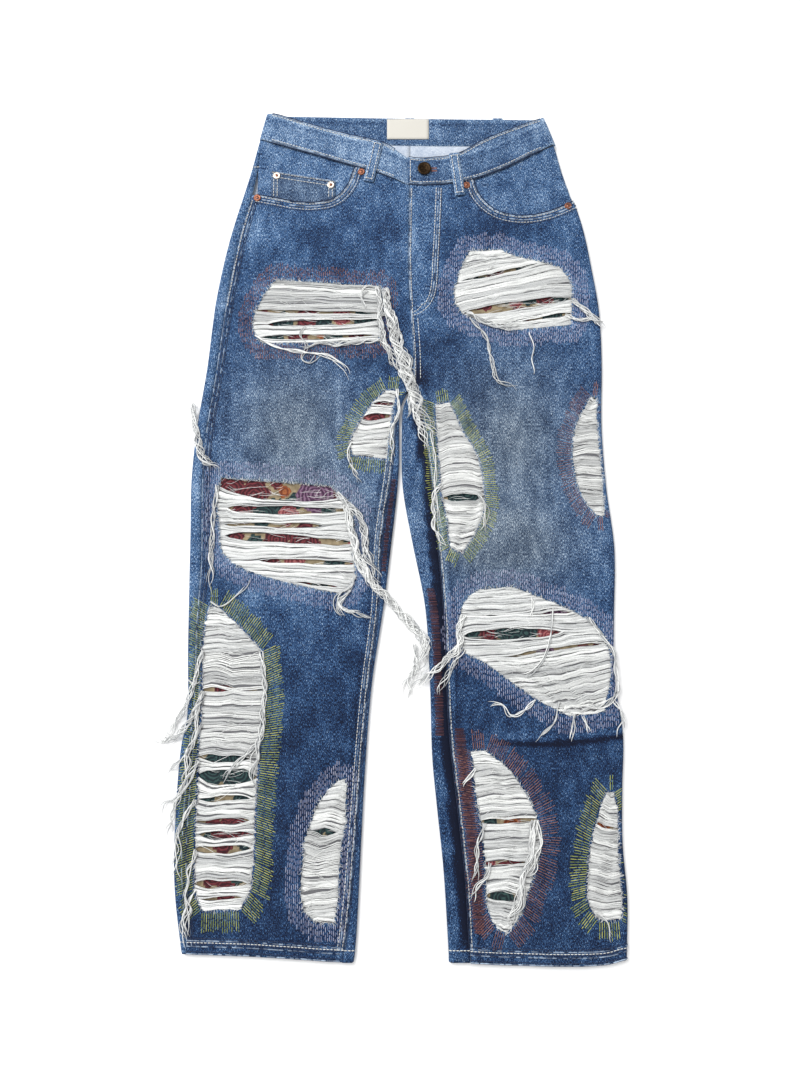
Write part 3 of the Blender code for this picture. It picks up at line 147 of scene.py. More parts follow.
RIGHT_OUTSEAM = down([(-0.1725, 0.471), (-0.1735, 0.441), (-0.180, 0.400), (-0.195, 0.340),
                      (-0.210, 0.250), (-0.221, 0.156), (-0.229, 0.094), (-0.232, 0.033),
                      (-0.230, -0.067), (-0.233, -0.134), (-0.233, -0.221), (-0.238, -0.290),
                      (-0.241, -0.400), (-0.234, -0.470), (-0.230, -0.500)])
RIGHT_INSEAM = down([(0.0200, 0.150), (0.0080, 0.138), (0.0010, 0.125), (-0.001, 0.107),
                     (-0.007, 0.042), (-0.018, -0.036), (-0.022, -0.119), (-0.033, -0.207),
                     (-0.041, -0.301), (-0.047, -0.384), (-0.053, -0.455), (-0.059, -0.500)])
LEFT_INSEAM = down([(0.0206, 0.150), (0.0250, 0.140), (0.0280, 0.131), (0.035, 0.078),
                    (0.040, 0.042), (0.045, -0.011), (0.052, -0.080), (0.057, -0.160),
                    (0.060, -0.254), (0.069, -0.341), (0.077, -0.420), (0.081, -0.500)])
RISE = down([(0.016, 0.408), (0.015, 0.360), (0.0145, 0.300), (0.017, 0.240), (0.020, 0.190),
             (0.0203, 0.150)])
CENTRE_BACK = down([(0.0203, 0.150), (0.018, 0.250), (0.016, 0.465)])
FRONT_BAND_LOW = across([(-0.174, 0.4705), (-0.155, 0.466), (-0.114, 0.454), (-0.074, 0.442),
                         (-0.025, 0.427), (-0.004, 0.4185), (0.014, 0.4105), (0.046, 0.410),
                         (0.066, 0.412), (0.094, 0.418), (0.132, 0.432), (0.171, 0.452),
                         (0.199, 0.464)])
FRONT_BAND_HIGH = across([(-0.165, 0.5055), (-0.154, 0.505), (-0.099, 0.487), (-0.066, 0.478),
                          (-0.014, 0.464), (0.014, 0.446), (0.050, 0.446), (0.079, 0.452),
                          (0.098, 0.463), (0.133, 0.480), (0.172, 0.495), (0.186, 0.500)])
BACK_BAND_LOW = across([(-0.174, 0.4705), (0.016, 0.465), (0.199, 0.464)])
BACK_BAND_HIGH = across([(-0.165, 0.5055), (0.016, 0.502), (0.186, 0.500)])
YOKE_SEAM = across([(-0.183, 0.431), (0.016, 0.400), (0.207, 0.430)])
HEM = across([(-0.240, -0.497), (-0.150, -0.500), (-0.048, -0.506), (0.058, -0.506),
              (0.135, -0.509), (0.224, -0.509), (0.256, -0.502)])
FLY_STITCH = down([(0.055, 0.408), (0.053, 0.363), (0.050, 0.310), (0.047, 0.271), (0.038, 0.250),
                   (0.018, 0.237)])
RIGHT_POCKET_MOUTH = ((-0.176, 0.3955), (-0.150, 0.391), (-0.130, 0.387), (-0.112, 0.385),
                      (-0.097, 0.386), (-0.086, 0.388), (-0.077, 0.392), (-0.068, 0.400),
                      (-0.060, 0.412), (-0.0565, 0.422), (-0.0525, 0.434))
LEFT_POCKET_MOUTH = ((0.094, 0.420), (0.101, 0.398), (0.116, 0.380), (0.134, 0.371),
                     (0.159, 0.368), (0.184, 0.372), (0.203, 0.379), (0.224, 0.389))

# Main creases of the front, as (from, to, half width, height)
CREASES = (
    ((0.105, -0.266), (0.262, -0.274), 0.014, 0.0022),
    ((0.030, 0.196), (0.085, 0.228), 0.012, 0.0012),
    ((0.006, 0.184), (-0.045, 0.198), 0.012, 0.0012),
    ((-0.062, -0.125), (-0.078, -0.300), 0.016, 0.0012),
    ((-0.020, 0.040), (-0.034, -0.090), 0.010, 0.0010),
    ((0.118, 0.150), (0.200, 0.175), 0.016, 0.0010),
    ((-0.180, 0.150), (-0.090, 0.128), 0.018, 0.0010),
    ((0.110, 0.010), (0.205, -0.045), 0.018, 0.0012),
    ((-0.120, -0.220), (-0.090, -0.420), 0.018, 0.0010),
    ((0.175, -0.330), (0.190, -0.470), 0.016, 0.0010),
)
CREASE_CLEAR_OF_FOLD = 0.020
LAP_FADE = 0.006
WRINKLE = 0.0009
WRINKLE_SCALE = 26.0
RIPPLE = 0.00035
RIPPLE_SCALE = 95.0


def underside(y):
    """Height of the outer face beneath: the seat lies on its pockets and the band on its loops."""
    seat = SEAT_LIFT * ease(y, 0.227, 0.263)
    return seat + (BAND_LIFT - SEAT_LIFT) * ease(y, 0.440, 0.455)


def crease_height(x, y):
    height = 0.0
    for (x0, y0), (x1, y1), half_width, rise in CREASES:
        run_x, run_y = x1 - x0, y1 - y0
        length = math.hypot(run_x, run_y)
        along = ((x - x0) * run_x + (y - y0) * run_y) / length
        aside = ((x - x0) * run_y - (y - y0) * run_x) / length
        past_end = max(-along, along - length, 0.0)
        height += rise * math.exp(-(aside * aside + past_end * past_end) / half_width ** 2)
    return height


def wrinkles(x, y):
    """Small unevenness of the cloth, never far below its flat level."""
    broad = noise.noise((x * WRINKLE_SCALE, y * WRINKLE_SCALE * 0.7, 3.1))
    fine = noise.noise((x * RIPPLE_SCALE, y * RIPPLE_SCALE, 7.7))
    return WRINKLE * max(broad, -0.25) + RIPPLE * fine


def inside_edge(x, y):
    """How far a place lies inside the nearest fold; below zero outside the garment."""
    if y >= CROTCH:
        return min(x - RIGHT_OUTER_LINE(y), LEFT_OUTER_LINE(y) - x)
    in_right_leg = min(x - RIGHT_OUTER_LINE(y), RIGHT_INNER_LINE(y) - x)
    in_left_leg = min(x - LEFT_INNER_LINE(y), LEFT_OUTER_LINE(y) - x)
    return max(in_right_leg, in_left_leg)


def topside(x, y):
    """Height of the front's outer face."""
    fade = ease(inside_edge(x, y), FOLD_RADIUS, CREASE_CLEAR_OF_FOLD)
    lap = 0.0
    if RISE(y) < x and y > 0.230:
        lap = FLY_LAP * (1 - ease(x, FLY_STITCH(y) - LAP_FADE, FLY_STITCH(y)))
        lap *= ease(y, 0.237, 0.260)
    relief = crease_height(x, y) + wrinkles(x, y) if fade > 0 else 0.0
    return underside(y) + FLAT_HEIGHT + fade * relief + lap


def on_top(x, y, depth=0.0):
    return Vector((x, y, topside(x, y) - depth))


def beneath(x, y, depth=0.0):
    return Vector((x, y, underside(y) + depth))


class Fold:
    """One edge of a flattened tube; side is +1 where the cloth lies toward -X of it."""

    def __init__(self, side, line):
        self.side = side
        self.line = line

    def start(self, y):
        return self.line(y) - self.side * FOLD_RADIUS

    def reach(self, x, y):
        beyond = self.side * (x - self.start(y))
        if beyond <= 0:
            return beyond
        return FOLD_RADIUS * math.asin(min(beyond / FOLD_RADIUS, 1.0))

    def at(self, reach, y, depth=0.0):
        if reach <= 0:
            return on_top(self.start(y) + self.side * reach, y, depth)
        if reach >= HALF_TURN:
            return beneath(self.start(y) - self.side * (reach - HALF_TURN), y, depth)
        angle = reach / FOLD_RADIUS
        radius = FOLD_RADIUS - depth
        middle = underside(y) + FOLD_RADIUS
        return Vector((self.start(y) + self.side * radius * math.sin(angle), y,
                       middle + radius * math.cos(angle)))


RIGHT_OUTER = Fold(-1, RIGHT_OUTER_LINE)
RIGHT_INNER = Fold(+1, RIGHT_INNER_LINE)
LEFT_INNER = Fold(-1, LEFT_INNER_LINE)
LEFT_OUTER = Fold(+1, LEFT_OUTER_LINE)


class Leg:
    def __init__(self, name, outer, inner, outseam_reach, inseam, sign):
        self.name = name
        self.outer = outer
        self.inner = inner
        self.outseam_reach = outseam_reach
        self.inseam = inseam
        self.sign = sign

    def folds(self, y):
        """The folds at a height, each with how fully the cloth turns round it."""
        opening = 1 - ease(y, CROTCH, CROTCH + 0.012)
        if opening == 0:
            return ((self.outer, 1.0),)
        return ((self.outer, 1.0), (self.inner, opening))

    def front(self, x, y, depth=0.0):
        """Lays a point of the front's flat pattern in place, round a fold where it passes one."""
        flat = on_top(x, y, depth)
        for fold, share in self.folds(y):
            beyond = fold.side * (x - fold.start(y))
            if beyond > 0:
                return flat.lerp(fold.at(beyond, y, depth), share)
        return flat

    def back(self, x, y, depth=0.0):
        """Lays a point of the back's flat pattern in place, up round a fold where it passes one."""
        flat = beneath(x, y, depth)
        for fold, share in self.folds(y):
            beyond = fold.side * (x - fold.start(y))
            if beyond > 0:
                return flat.lerp(fold.at(HALF_TURN - beyond, y, depth), share)
        return flat

    def front_outseam(self, y):
        return self.outer.start(y) + self.outer.side * self.outseam_reach(y)

    def back_outseam(self, y):
        return self.outer.start(y) + self.outer.side * (HALF_TURN - self.outseam_reach(y))

    def front_inseam(self, y):
        reach = self.inner.reach(self.inseam(y), y)
        return self.inner.start(y) + self.inner.side * reach

    def back_inseam(self, y):
        seam = self.inner.reach(self.inseam(y), y)
        reach = lerp(seam, max(seam, HALF_TURN * 0.6), ease(y, 0.130, 0.146))
        return self.inner.start(y) + self.inner.side * (HALF_TURN - reach)


RIGHT = Leg("right", RIGHT_OUTER, RIGHT_INNER,
            lambda y: RIGHT_OUTER.reach(RIGHT_OUTSEAM(y), y), RIGHT_INSEAM, -1)
LEFT = Leg("left", LEFT_OUTER, LEFT_INNER,
           lambda y: HALF_TURN + LEFT_OUTSEAM_BENEATH, LEFT_INSEAM, +1)
LEGS = (RIGHT, LEFT)


# Materials
def linear(red, green, blue):
    """A colour given as 0 to 255 display values, as linear light."""
    def channel(value):
        value /= 255
        return value / 12.92 if value <= 0.04045 else ((value + 0.055) / 1.055) ** 2.4
    return (channel(red), channel(green), channel(blue), 1.0)


class Nodes:
    """A material's node tree, with short calls for the nodes used here."""

    def __init__(self, name, roughness=0.9, metallic=0.0):
        self.material = bpy.data.materials.new(name)
        self.material.use_nodes = True
        self.tree = self.material.node_tree
        self.shader = self.tree.nodes["Principled BSDF"]
        self.shader.inputs["Roughness"].default_value = roughness
        self.shader.inputs["Metallic"].default_value = metallic

    def put(self, socket, value):
        if hasattr(value, "is_output"):
            self.tree.links.new(value, socket)
        else:
            socket.default_value = value

    def add(self, kind, output=0, settings=None, **inputs):
        node = self.tree.nodes.new("ShaderNode" + kind)
        for key, value in (settings or {}).items():
            setattr(node, key, value)
        for key, value in inputs.items():
            self.put(node.inputs[key.replace("_", " ")], value)
        return node.outputs[output]

    def cloth_place(self):
        """Where a point lies on the flat pattern, in metres."""
        return self.add("UVMap", settings={"uv_map": "cloth"})

    def attribute(self, name):
        return self.add("Attribute", "Fac", settings={"attribute_name": name})

    def noise(self, place, scale, detail=2.0, output="Fac", roughness=0.5):
        return self.add("TexNoise", output, Vector=place, Scale=scale, Detail=detail, Roughness=roughness)

    def stretch(self, place, x, y, turn=0.0):
        node = self.tree.nodes.new("ShaderNodeMapping")
        self.put(node.inputs["Vector"], place)
        node.inputs["Scale"].default_value = (x, y, 1.0)
        node.inputs["Rotation"].default_value = (0.0, 0.0, turn)
        return node.outputs[0]

    def math(self, operation, a, b=0.0, clamp=False):
        node = self.tree.nodes.new("ShaderNodeMath")
        node.operation = operation
        node.use_clamp = clamp
        self.put(node.inputs[0], a)
        self.put(node.inputs[1], b)
        return node.outputs[0]

    def remap(self, value, low, high, to_low=0.0, to_high=1.0):
        node = self.tree.nodes.new("ShaderNodeMapRange")
        self.put(node.inputs["Value"], value)
        node.inputs["From Min"].default_value = low
        node.inputs["From Max"].default_value = high
        node.inputs["To Min"].default_value = to_low
        node.inputs["To Max"].default_value = to_high
        return node.outputs[0]

    def mix(self, factor, a, b, blend="MIX"):
        node = self.tree.nodes.new("ShaderNodeMix")
        node.data_type = "RGBA"
        node.blend_type = blend
        self.put(node.inputs[0], factor)
        self.put(node.inputs[6], a)
        self.put(node.inputs[7], b)
        return node.outputs[2]

    def ramp(self, factor, stops, interpolation="LINEAR"):
        node = self.tree.nodes.new("ShaderNodeValToRGB")
        node.color_ramp.interpolation = interpolation
        while len(node.color_ramp.elements) < len(stops):
            node.color_ramp.elements.new(1.0)
        for element, (position, colour) in zip(node.color_ramp.elements, stops):
            element.position = position
            element.color = colour
        self.put(node.inputs[0], factor)
        return node.outputs[0]

    def bump(self, height, distance, strength=1.0):
        return self.add("Bump", Height=height, Distance=distance, Strength=strength)

    def finish(self, colour, normal=None):
        self.put(self.shader.inputs["Base Color"], colour)
        if normal is not None:
            self.put(self.shader.inputs["Normal"], normal)
        return self.material


BLUE_WASH = ((0.00, linear(4, 12, 34)), (0.22, linear(16, 38, 72)), (0.45, linear(42, 76, 118)),
             (0.68, linear(88, 122, 160)), (1.00, linear(190, 208, 226)))
GREY_WASH = ((0.00, linear(16, 24, 42)), (0.22, linear(40, 54, 76)), (0.45, linear(76, 92, 112)),
             (0.68, linear(116, 132, 148)), (1.00, linear(192, 201, 208)))
TWILL_PITCH = 0.0013
SPECKLE_SIZE = 0.0013


def denim_material(name, wash_shift=0.0):
    """Washed twill: its fading, with painted shade from seams and folds, follows the fade and grey
    attributes, with yarn specks over it.
    """
    n = Nodes(name, roughness=0.88)
    place = n.cloth_place()
    specks = n.noise(place, 1.5 / SPECKLE_SIZE, 2.0)
    slubs = n.noise(n.stretch(place, 1.0, 0.30), 1.6 / SPECKLE_SIZE, 1.0)
    streaks = n.noise(n.stretch(place, 1.0, 0.35), 120.0, 3.0)
    clouds = n.noise(place, 24.0, 4.0)
    twill = n.add("TexWave", "Fac", {"wave_type": "BANDS", "bands_direction": "DIAGONAL"},
                  Vector=place, Scale=0.32 / TWILL_PITCH, Distortion=1.2, Detail=1.0,
                  Detail_Scale=1.5)
    value = n.math("ADD", n.attribute("fade"), wash_shift)
    for part, low, high in ((specks, -0.85, 0.85), (slubs, -0.80, 0.80), (streaks, -0.24, 0.24),
                            (clouds, -0.26, 0.26), (twill, -0.05, 0.05)):
        value = n.math("ADD", value, n.remap(part, 0.0, 1.0, low, high))
    colour = n.mix(n.attribute("grey"), n.ramp(value, BLUE_WASH), n.ramp(value, GREY_WASH))
    height = n.math("ADD", n.math("MULTIPLY", specks, 0.6), n.math("MULTIPLY", twill, 0.4))
    n.shader.inputs["Specular IOR Level"].default_value = 0.25
    return n.finish(colour, n.bump(height, 0.0004, 0.6))


def reverse_denim_material():
    """The pale inner side, mostly white weft with blue warp showing."""
    n = Nodes("denim_reverse", roughness=0.92)
    place = n.cloth_place()
    specks = n.noise(place, 0.8 / SPECKLE_SIZE, 2.0)
    slubs = n.noise(n.stretch(place, 0.3, 1.0), 0.8 / SPECKLE_SIZE, 1.0)
    clouds = n.noise(place, 45.0, 3.0)
    value = n.math("ADD", n.remap(specks, 0.0, 1.0, -0.1, 0.6), n.remap(slubs, 0.0, 1.0, -0.1, 0.4))
    value = n.math("ADD", value, n.remap(clouds, 0.0, 1.0, 0.0, 0.5))
    colour = n.ramp(value, ((0.0, linear(92, 108, 134)), (0.5, linear(150, 162, 180)),
                            (1.0, linear(206, 212, 220))))
    return n.finish(colour, n.bump(specks, 0.0003, 0.6))


def yarn_material(name, dark, light, roughness=0.9):
    """Cotton yarn between two colours, chosen by each strand's tone."""
    n = Nodes(name, roughness=roughness)
    place = n.add("TexCoord", "Object")
    fibres = n.noise(place, 900.0, 1.0)
    tone = n.math("ADD", n.attribute("tone"), n.remap(fibres, 0.0, 1.0, -0.22, 0.22))
    colour = n.ramp(tone, ((0.0, dark), (1.0, light)))
    n.shader.inputs["Subsurface Weight"].default_value = 0.0
    return n.finish(colour, n.bump(fibres, 0.0002, 0.4))


def two_tone_yarn(name, stops):
    """Stitching yarn that changes colour along a border, by each strand's tone."""
    n = Nodes(name, roughness=0.85)
    fibres = n.noise(n.add("TexCoord", "Object"), 800.0, 1.0)
    tone = n.math("ADD", n.attribute("tone"), n.remap(fibres, 0.0, 1.0, -0.2, 0.2))
    return n.finish(n.ramp(tone, stops), n.bump(fibres, 0.0002, 0.4))


RING_PITCH = 0.0042
RIB_PITCH = 0.0016


def tapestry_material():
    """A woven floral: each motif's rings in its own colours on a tan ground, with a fine rib."""
    n = Nodes("tapestry", roughness=0.92)
    place = n.cloth_place()
    swirl = n.noise(place, 150.0, 2.0)
    reach = n.math("ADD", n.attribute("reach"), n.math("MULTIPLY", swirl, 0.0065))
    rings = n.math("SINE", n.math("MULTIPLY", reach, 6.283 / RING_PITCH))
    petals = n.remap(n.math("ADD", rings, n.remap(n.noise(place, 420.0), 0.0, 1.0, -0.7, 0.7)), -1.4, 1.4)
    ground = n.ramp(swirl, ((0.3, linear(118, 104, 80)), (0.7, linear(168, 152, 122))))
    colours = (
        ("rose", linear(30, 6, 14), linear(80, 22, 32), linear(130, 56, 62)),
        ("pink", linear(76, 22, 32), linear(138, 62, 70), linear(184, 118, 114)),
        ("plum", linear(38, 20, 42), linear(92, 58, 88), linear(150, 120, 144)),
        ("leaf", linear(6, 16, 24), linear(18, 42, 48), linear(58, 88, 84)),
        ("rust", linear(84, 34, 16), linear(134, 66, 34), linear(170, 104, 60)),
    )
    colour = ground
    for name, dark, middle, light in colours:
        tint = n.ramp(petals, ((0.0, dark), (0.5, middle), (1.0, light)))
        colour = n.mix(n.remap(n.attribute(name), 0.35, 0.65), colour, tint)
    rib = n.add("TexWave", "Fac", {"wave_type": "BANDS", "bands_direction": "Y"},
                Vector=place, Scale=0.32 / RIB_PITCH, Distortion=0.6)
    colour = n.mix(n.remap(rib, 0.0, 1.0, 0.0, 0.30), colour, linear(14, 12, 16))
    return n.finish(colour, n.bump(rib, 0.0004, 0.6))


def metal_material(name, dark, light, roughness):
    n = Nodes(name, roughness=roughness, metallic=1.0)
    patina = n.noise(n.add("TexCoord", "Object"), 620.0, 4.0)
    return n.finish(n.ramp(patina, ((0.3, dark), (0.7, light))), n.bump(patina, 0.0002, 0.3))


def label_material():
    n = Nodes("label", roughness=0.8)
    place = n.cloth_place()
    weave = n.add("TexWave", "Fac", {"wave_type": "BANDS", "bands_direction": "Y"}, Vector=place,
                  Scale=500.0, Distortion=0.4)
    colour = n.mix(n.remap(weave, 0.0, 1.0, 0.0, 0.12), linear(197, 194, 186), linear(158, 154, 145))
    return n.finish(colour, n.bump(weave, 0.0002, 0.5))


DENIM_CLOTH = denim_material("denim")
DENIM_REVERSE = reverse_denim_material()
WEFT_YARN = yarn_material("weft_yarn", linear(112, 116, 122), linear(250, 251, 249))
# Grey of the painted shade sheet under the weft yarns.
PAINTED_WEFT_SHADE = yarn_material("weft_shade", linear(58, 60, 66), linear(124, 124, 126))
TOPSTITCH = yarn_material("topstitch", linear(196, 196, 192), linear(250, 248, 240))
RUST_YARN = two_tone_yarn("rust_yarn", ((0.0, linear(74, 58, 70)), (0.5, linear(118, 84, 82)),
                                        (1.0, linear(164, 116, 104))))
GREEN_YARN = two_tone_yarn("green_yarn", ((0.0, linear(92, 112, 74)), (0.5, linear(152, 162, 82)),
                                          (1.0, linear(204, 204, 112))))
LILAC_YARN = two_tone_yarn("lilac_yarn", ((0.0, linear(112, 120, 150)), (0.5, linear(150, 152, 180)),
                                          (1.0, linear(200, 202, 222))))
WINE_YARN = two_tone_yarn("wine_yarn", ((0.0, linear(34, 22, 34)), (0.5, linear(72, 40, 48)),
                                        (1.0, linear(112, 70, 72))))
TAPESTRY = tapestry_material()
COPPER = metal_material("copper", linear(84, 50, 40), linear(150, 102, 82), 0.45)
PALE_METAL = metal_material("pale_metal", linear(168, 158, 146), linear(214, 206, 196), 0.4)
DARK_METAL = metal_material("dark_metal", linear(18, 14, 10), linear(62, 48, 34), 0.38)
LABEL = label_material()
BAND_INSIDE = denim_material("band_inside", -0.16)
RIDGE_DENIM = yarn_material("ridge_denim", linear(22, 36, 66), linear(172, 190, 212))


# Rips. Each has its left and right edge from the top down, and its gaps as the place across and
# down where each starts and stops, its height at the middle, and how far its middle hangs lower.
RIPS = {
    "right_thigh": dict(
        left=((-0.149, 0.284), (-0.161, 0.268), (-0.170, 0.250), (-0.175, 0.235), (-0.174, 0.217),
              (-0.164, 0.203)),
        right=((-0.020, 0.275), (-0.020, 0.261), (-0.021, 0.245), (-0.022, 0.230), (-0.022, 0.216),
               (-0.023, 0.206)),
        gaps=((0.03, 0.47, 0.97, 0.45, 0.0050, 0.0), (0.12, 0.68, 0.97, 0.55, 0.0090, 0.02),
              (0.03, 0.90, 0.97, 0.86, 0.0090, 0.0))),
    "right_inner_thigh": dict(
        left=((-0.013, 0.143), (-0.028, 0.129), (-0.042, 0.109), (-0.050, 0.093), (-0.056, 0.079),
              (-0.053, 0.064)),
        right=((0.000, 0.143), (-0.004, 0.128), (-0.007, 0.113), (-0.008, 0.098), (-0.011, 0.082),
               (-0.013, 0.059)),
        gaps=((0.04, 0.22, 0.96, 0.20, 0.0055, 0.0), (0.04, 0.39, 0.96, 0.42, 0.0090, 0.0))),
    "right_knee": dict(
        left=((-0.209, 0.036), (-0.213, 0.009), (-0.208, -0.027), (-0.204, -0.054),
              (-0.176, -0.074), (-0.128, -0.088)),
        right=((-0.080, 0.026), (-0.056, 0.003), (-0.052, -0.021), (-0.053, -0.051),
               (-0.049, -0.082), (-0.066, -0.102)),
        gaps=((0.03, 0.07, 0.97, 0.11, 0.0220, 0.03), (0.08, 0.25, 0.97, 0.25, 0.0120, 0.01),
              (0.04, 0.36, 0.75, 0.39, 0.0070, 0.0), (0.04, 0.44, 0.97, 0.54, 0.0130, 0.0),
              (0.24, 0.68, 0.97, 0.69, 0.0080, 0.0), (0.30, 0.94, 0.90, 0.93, 0.0048, 0.0))),
    "right_shin": dict(
        left=((-0.218, -0.117), (-0.222, -0.141), (-0.224, -0.169), (-0.223, -0.212),
              (-0.223, -0.245), (-0.225, -0.284), (-0.224, -0.323), (-0.225, -0.360),
              (-0.225, -0.398), (-0.224, -0.430), (-0.215, -0.452)),
        right=((-0.209, -0.117), (-0.182, -0.141), (-0.157, -0.167), (-0.152, -0.212),
               (-0.154, -0.245), (-0.157, -0.284), (-0.159, -0.323), (-0.160, -0.360),
               (-0.160, -0.398), (-0.163, -0.430), (-0.173, -0.450)),
        gaps=((0.06, 0.30, 0.46, 0.30, 0.0055, 0.0), (0.06, 0.51, 0.78, 0.51, 0.0080, 0.0),
              (0.06, 0.56, 0.94, 0.56, 0.0200, 0.0), (0.06, 0.63, 0.90, 0.62, 0.0075, 0.0),
              (0.06, 0.69, 0.90, 0.69, 0.0065, 0.0), (0.10, 0.73, 0.94, 0.73, 0.0070, 0.0),
              (0.06, 0.77, 0.94, 0.77, 0.0090, 0.0), (0.06, 0.88, 0.90, 0.88, 0.0120, 0.0),
              (0.06, 0.94, 0.90, 0.94, 0.0080, 0.0))),
    "right_ankle": dict(
        left=((-0.064, -0.312), (-0.075, -0.321), (-0.089, -0.338), (-0.095, -0.356),
              (-0.103, -0.377), (-0.104, -0.400), (-0.107, -0.425), (-0.104, -0.450),
              (-0.089, -0.464)),
        right=((-0.059, -0.312), (-0.057, -0.321), (-0.058, -0.338), (-0.057, -0.356),
               (-0.062, -0.377), (-0.064, -0.400), (-0.065, -0.425), (-0.066, -0.445),
               (-0.070, -0.465)),
        gaps=((0.28, 0.45, 0.80, 0.45, 0.0060, 0.0),)),
    "left_thigh": dict(
        left=((0.091, 0.322), (0.080, 0.302), (0.075, 0.284), (0.070, 0.268), (0.072, 0.254),
              (0.081, 0.240), (0.107, 0.230), (0.144, 0.220)),
        right=((0.127, 0.323), (0.148, 0.314), (0.180, 0.307), (0.203, 0.297), (0.214, 0.279),
               (0.214, 0.261), (0.214, 0.245), (0.211, 0.227)),
        gaps=((0.04, 0.31, 0.97, 0.29, 0.0050, 0.0), (0.04, 0.71, 0.97, 0.71, 0.0150, 0.0),
              (0.30, 0.91, 0.96, 0.88, 0.0055, 0.0))),
    "left_outer_thigh": dict(
        left=((0.234, 0.135), (0.223, 0.116), (0.216, 0.102), (0.211, 0.081), (0.210, 0.061),
              (0.212, 0.042), (0.216, 0.023), (0.226, 0.003), (0.237, -0.009)),
        right=((0.240, 0.134), (0.240, 0.116), (0.240, 0.099), (0.241, 0.081), (0.242, 0.061),
               (0.244, 0.042), (0.244, 0.023), (0.245, 0.005), (0.244, -0.009)),
        gaps=()),
    "left_inner_thigh": dict(
        left=((0.047, 0.126), (0.047, 0.107), (0.049, 0.086), (0.049, 0.067), (0.052, 0.050),
              (0.052, 0.031), (0.054, 0.009), (0.060, -0.011), (0.061, -0.030), (0.064, -0.047)),
        right=((0.062, 0.128), (0.072, 0.109), (0.080, 0.088), (0.092, 0.071), (0.099, 0.050),
               (0.101, 0.031), (0.104, 0.009), (0.100, -0.011), (0.091, -0.030), (0.076, -0.054)),
        gaps=((0.10, 0.66, 0.88, 0.64, 0.0100, 0.0),)),
    "left_knee": dict(
        left=((0.097, -0.097), (0.080, -0.109), (0.074, -0.126), (0.072, -0.146), (0.075, -0.167),
              (0.107, -0.184), (0.152, -0.218), (0.197, -0.241)),
        right=((0.134, -0.094), (0.166, -0.106), (0.207, -0.123), (0.230, -0.139),
               (0.243, -0.159), (0.246, -0.180), (0.244, -0.205), (0.235, -0.237)),
        gaps=((0.62, 0.30, 0.96, 0.28, 0.0050, 0.0), (0.04, 0.46, 0.72, 0.46, 0.0190, 0.0),
              (0.60, 0.50, 0.96, 0.42, 0.0060, 0.0), (0.28, 0.64, 0.96, 0.56, 0.0060, 0.0))),
    "left_shin": dict(
        left=((0.085, -0.280), (0.087, -0.295), (0.088, -0.317), (0.091, -0.340), (0.095, -0.360),
              (0.097, -0.382), (0.099, -0.403), (0.099, -0.428), (0.101, -0.451),
              (0.111, -0.470)),
        right=((0.099, -0.280), (0.121, -0.295), (0.139, -0.316), (0.152, -0.340),
               (0.159, -0.360), (0.160, -0.382), (0.156, -0.403), (0.146, -0.428),
               (0.139, -0.451), (0.122, -0.475)),
        gaps=((0.05, 0.43, 0.96, 0.41, 0.0070, 0.0), (0.06, 0.66, 0.80, 0.65, 0.0050, 0.0),
              (0.05, 0.82, 0.88, 0.82, 0.0095, 0.0))),
    "left_ankle": dict(
        left=((0.238, -0.325), (0.229, -0.342), (0.224, -0.360), (0.218, -0.378), (0.215, -0.396),
              (0.213, -0.414), (0.211, -0.432), (0.213, -0.447), (0.224, -0.461)),
        right=((0.243, -0.325), (0.247, -0.342), (0.248, -0.360), (0.247, -0.378),
               (0.247, -0.396), (0.248, -0.414), (0.249, -0.432), (0.249, -0.447),
               (0.247, -0.461)),
        gaps=((0.10, 0.24, 0.76, 0.28, 0.0048, 0.0),)),
}
RIP_STEPS = 10
BAND_LEAST = 0.020
GAP_ROUNDNESS = 0.42


def leg_of(name):
    return RIGHT if name.startswith("right") else LEFT


def rip_edge(points):
    """A rip's edge as evenly spread corners on a smooth curve through its points."""
    places = [k / (len(points) - 1) for k in range(len(points))]
    along_x = smooth(list(zip(places, (x for x, _ in points))))
    along_y = smooth(list(zip(places, (y for _, y in points))))
    return [Vector((along_x(k / RIP_STEPS), along_y(k / RIP_STEPS))) for k in range(RIP_STEPS + 1)]


def edge_point(edge, f):
    """The place at fraction f down a rip's edge."""
    place = f * (len(edge) - 1)
    k = min(int(place), len(edge) - 2)
    return edge[k].lerp(edge[k + 1], place - k)

def edge_length(points):
    return sum(math.dist(a, b) for a, b in zip(points, points[1:]))

def gap_edges(rip, length, u):
    """The gaps' upper and lower edges at place u across, as fractions down the rip."""
    edges = []
    for start_u, start_f, end_u, end_f, height, hang in rip["gaps"]:
        s = min(max((u - start_u) / (end_u - start_u), 0.0), 1.0)
        middle = lerp(start_f, end_f, s) + hang * 4 * s * (1 - s)
        half = height / length / 2 * (4 * s * (1 - s)) ** GAP_ROUNDNESS
        edges += [middle - half, middle + half]
    floor = 0.0
    for k in range(len(edges)):
        least = floor + (BAND_LEAST if k % 2 == 0 else 0.0)
        edges[k] = max(edges[k], least)
        floor = edges[k]
    ceiling = 1.0
    for k in range(len(edges) - 1, -1, -1):
        most = ceiling - (BAND_LEAST if k % 2 else 0.0)
        edges[k] = min(edges[k], most)
        ceiling = edges[k]
    return edges


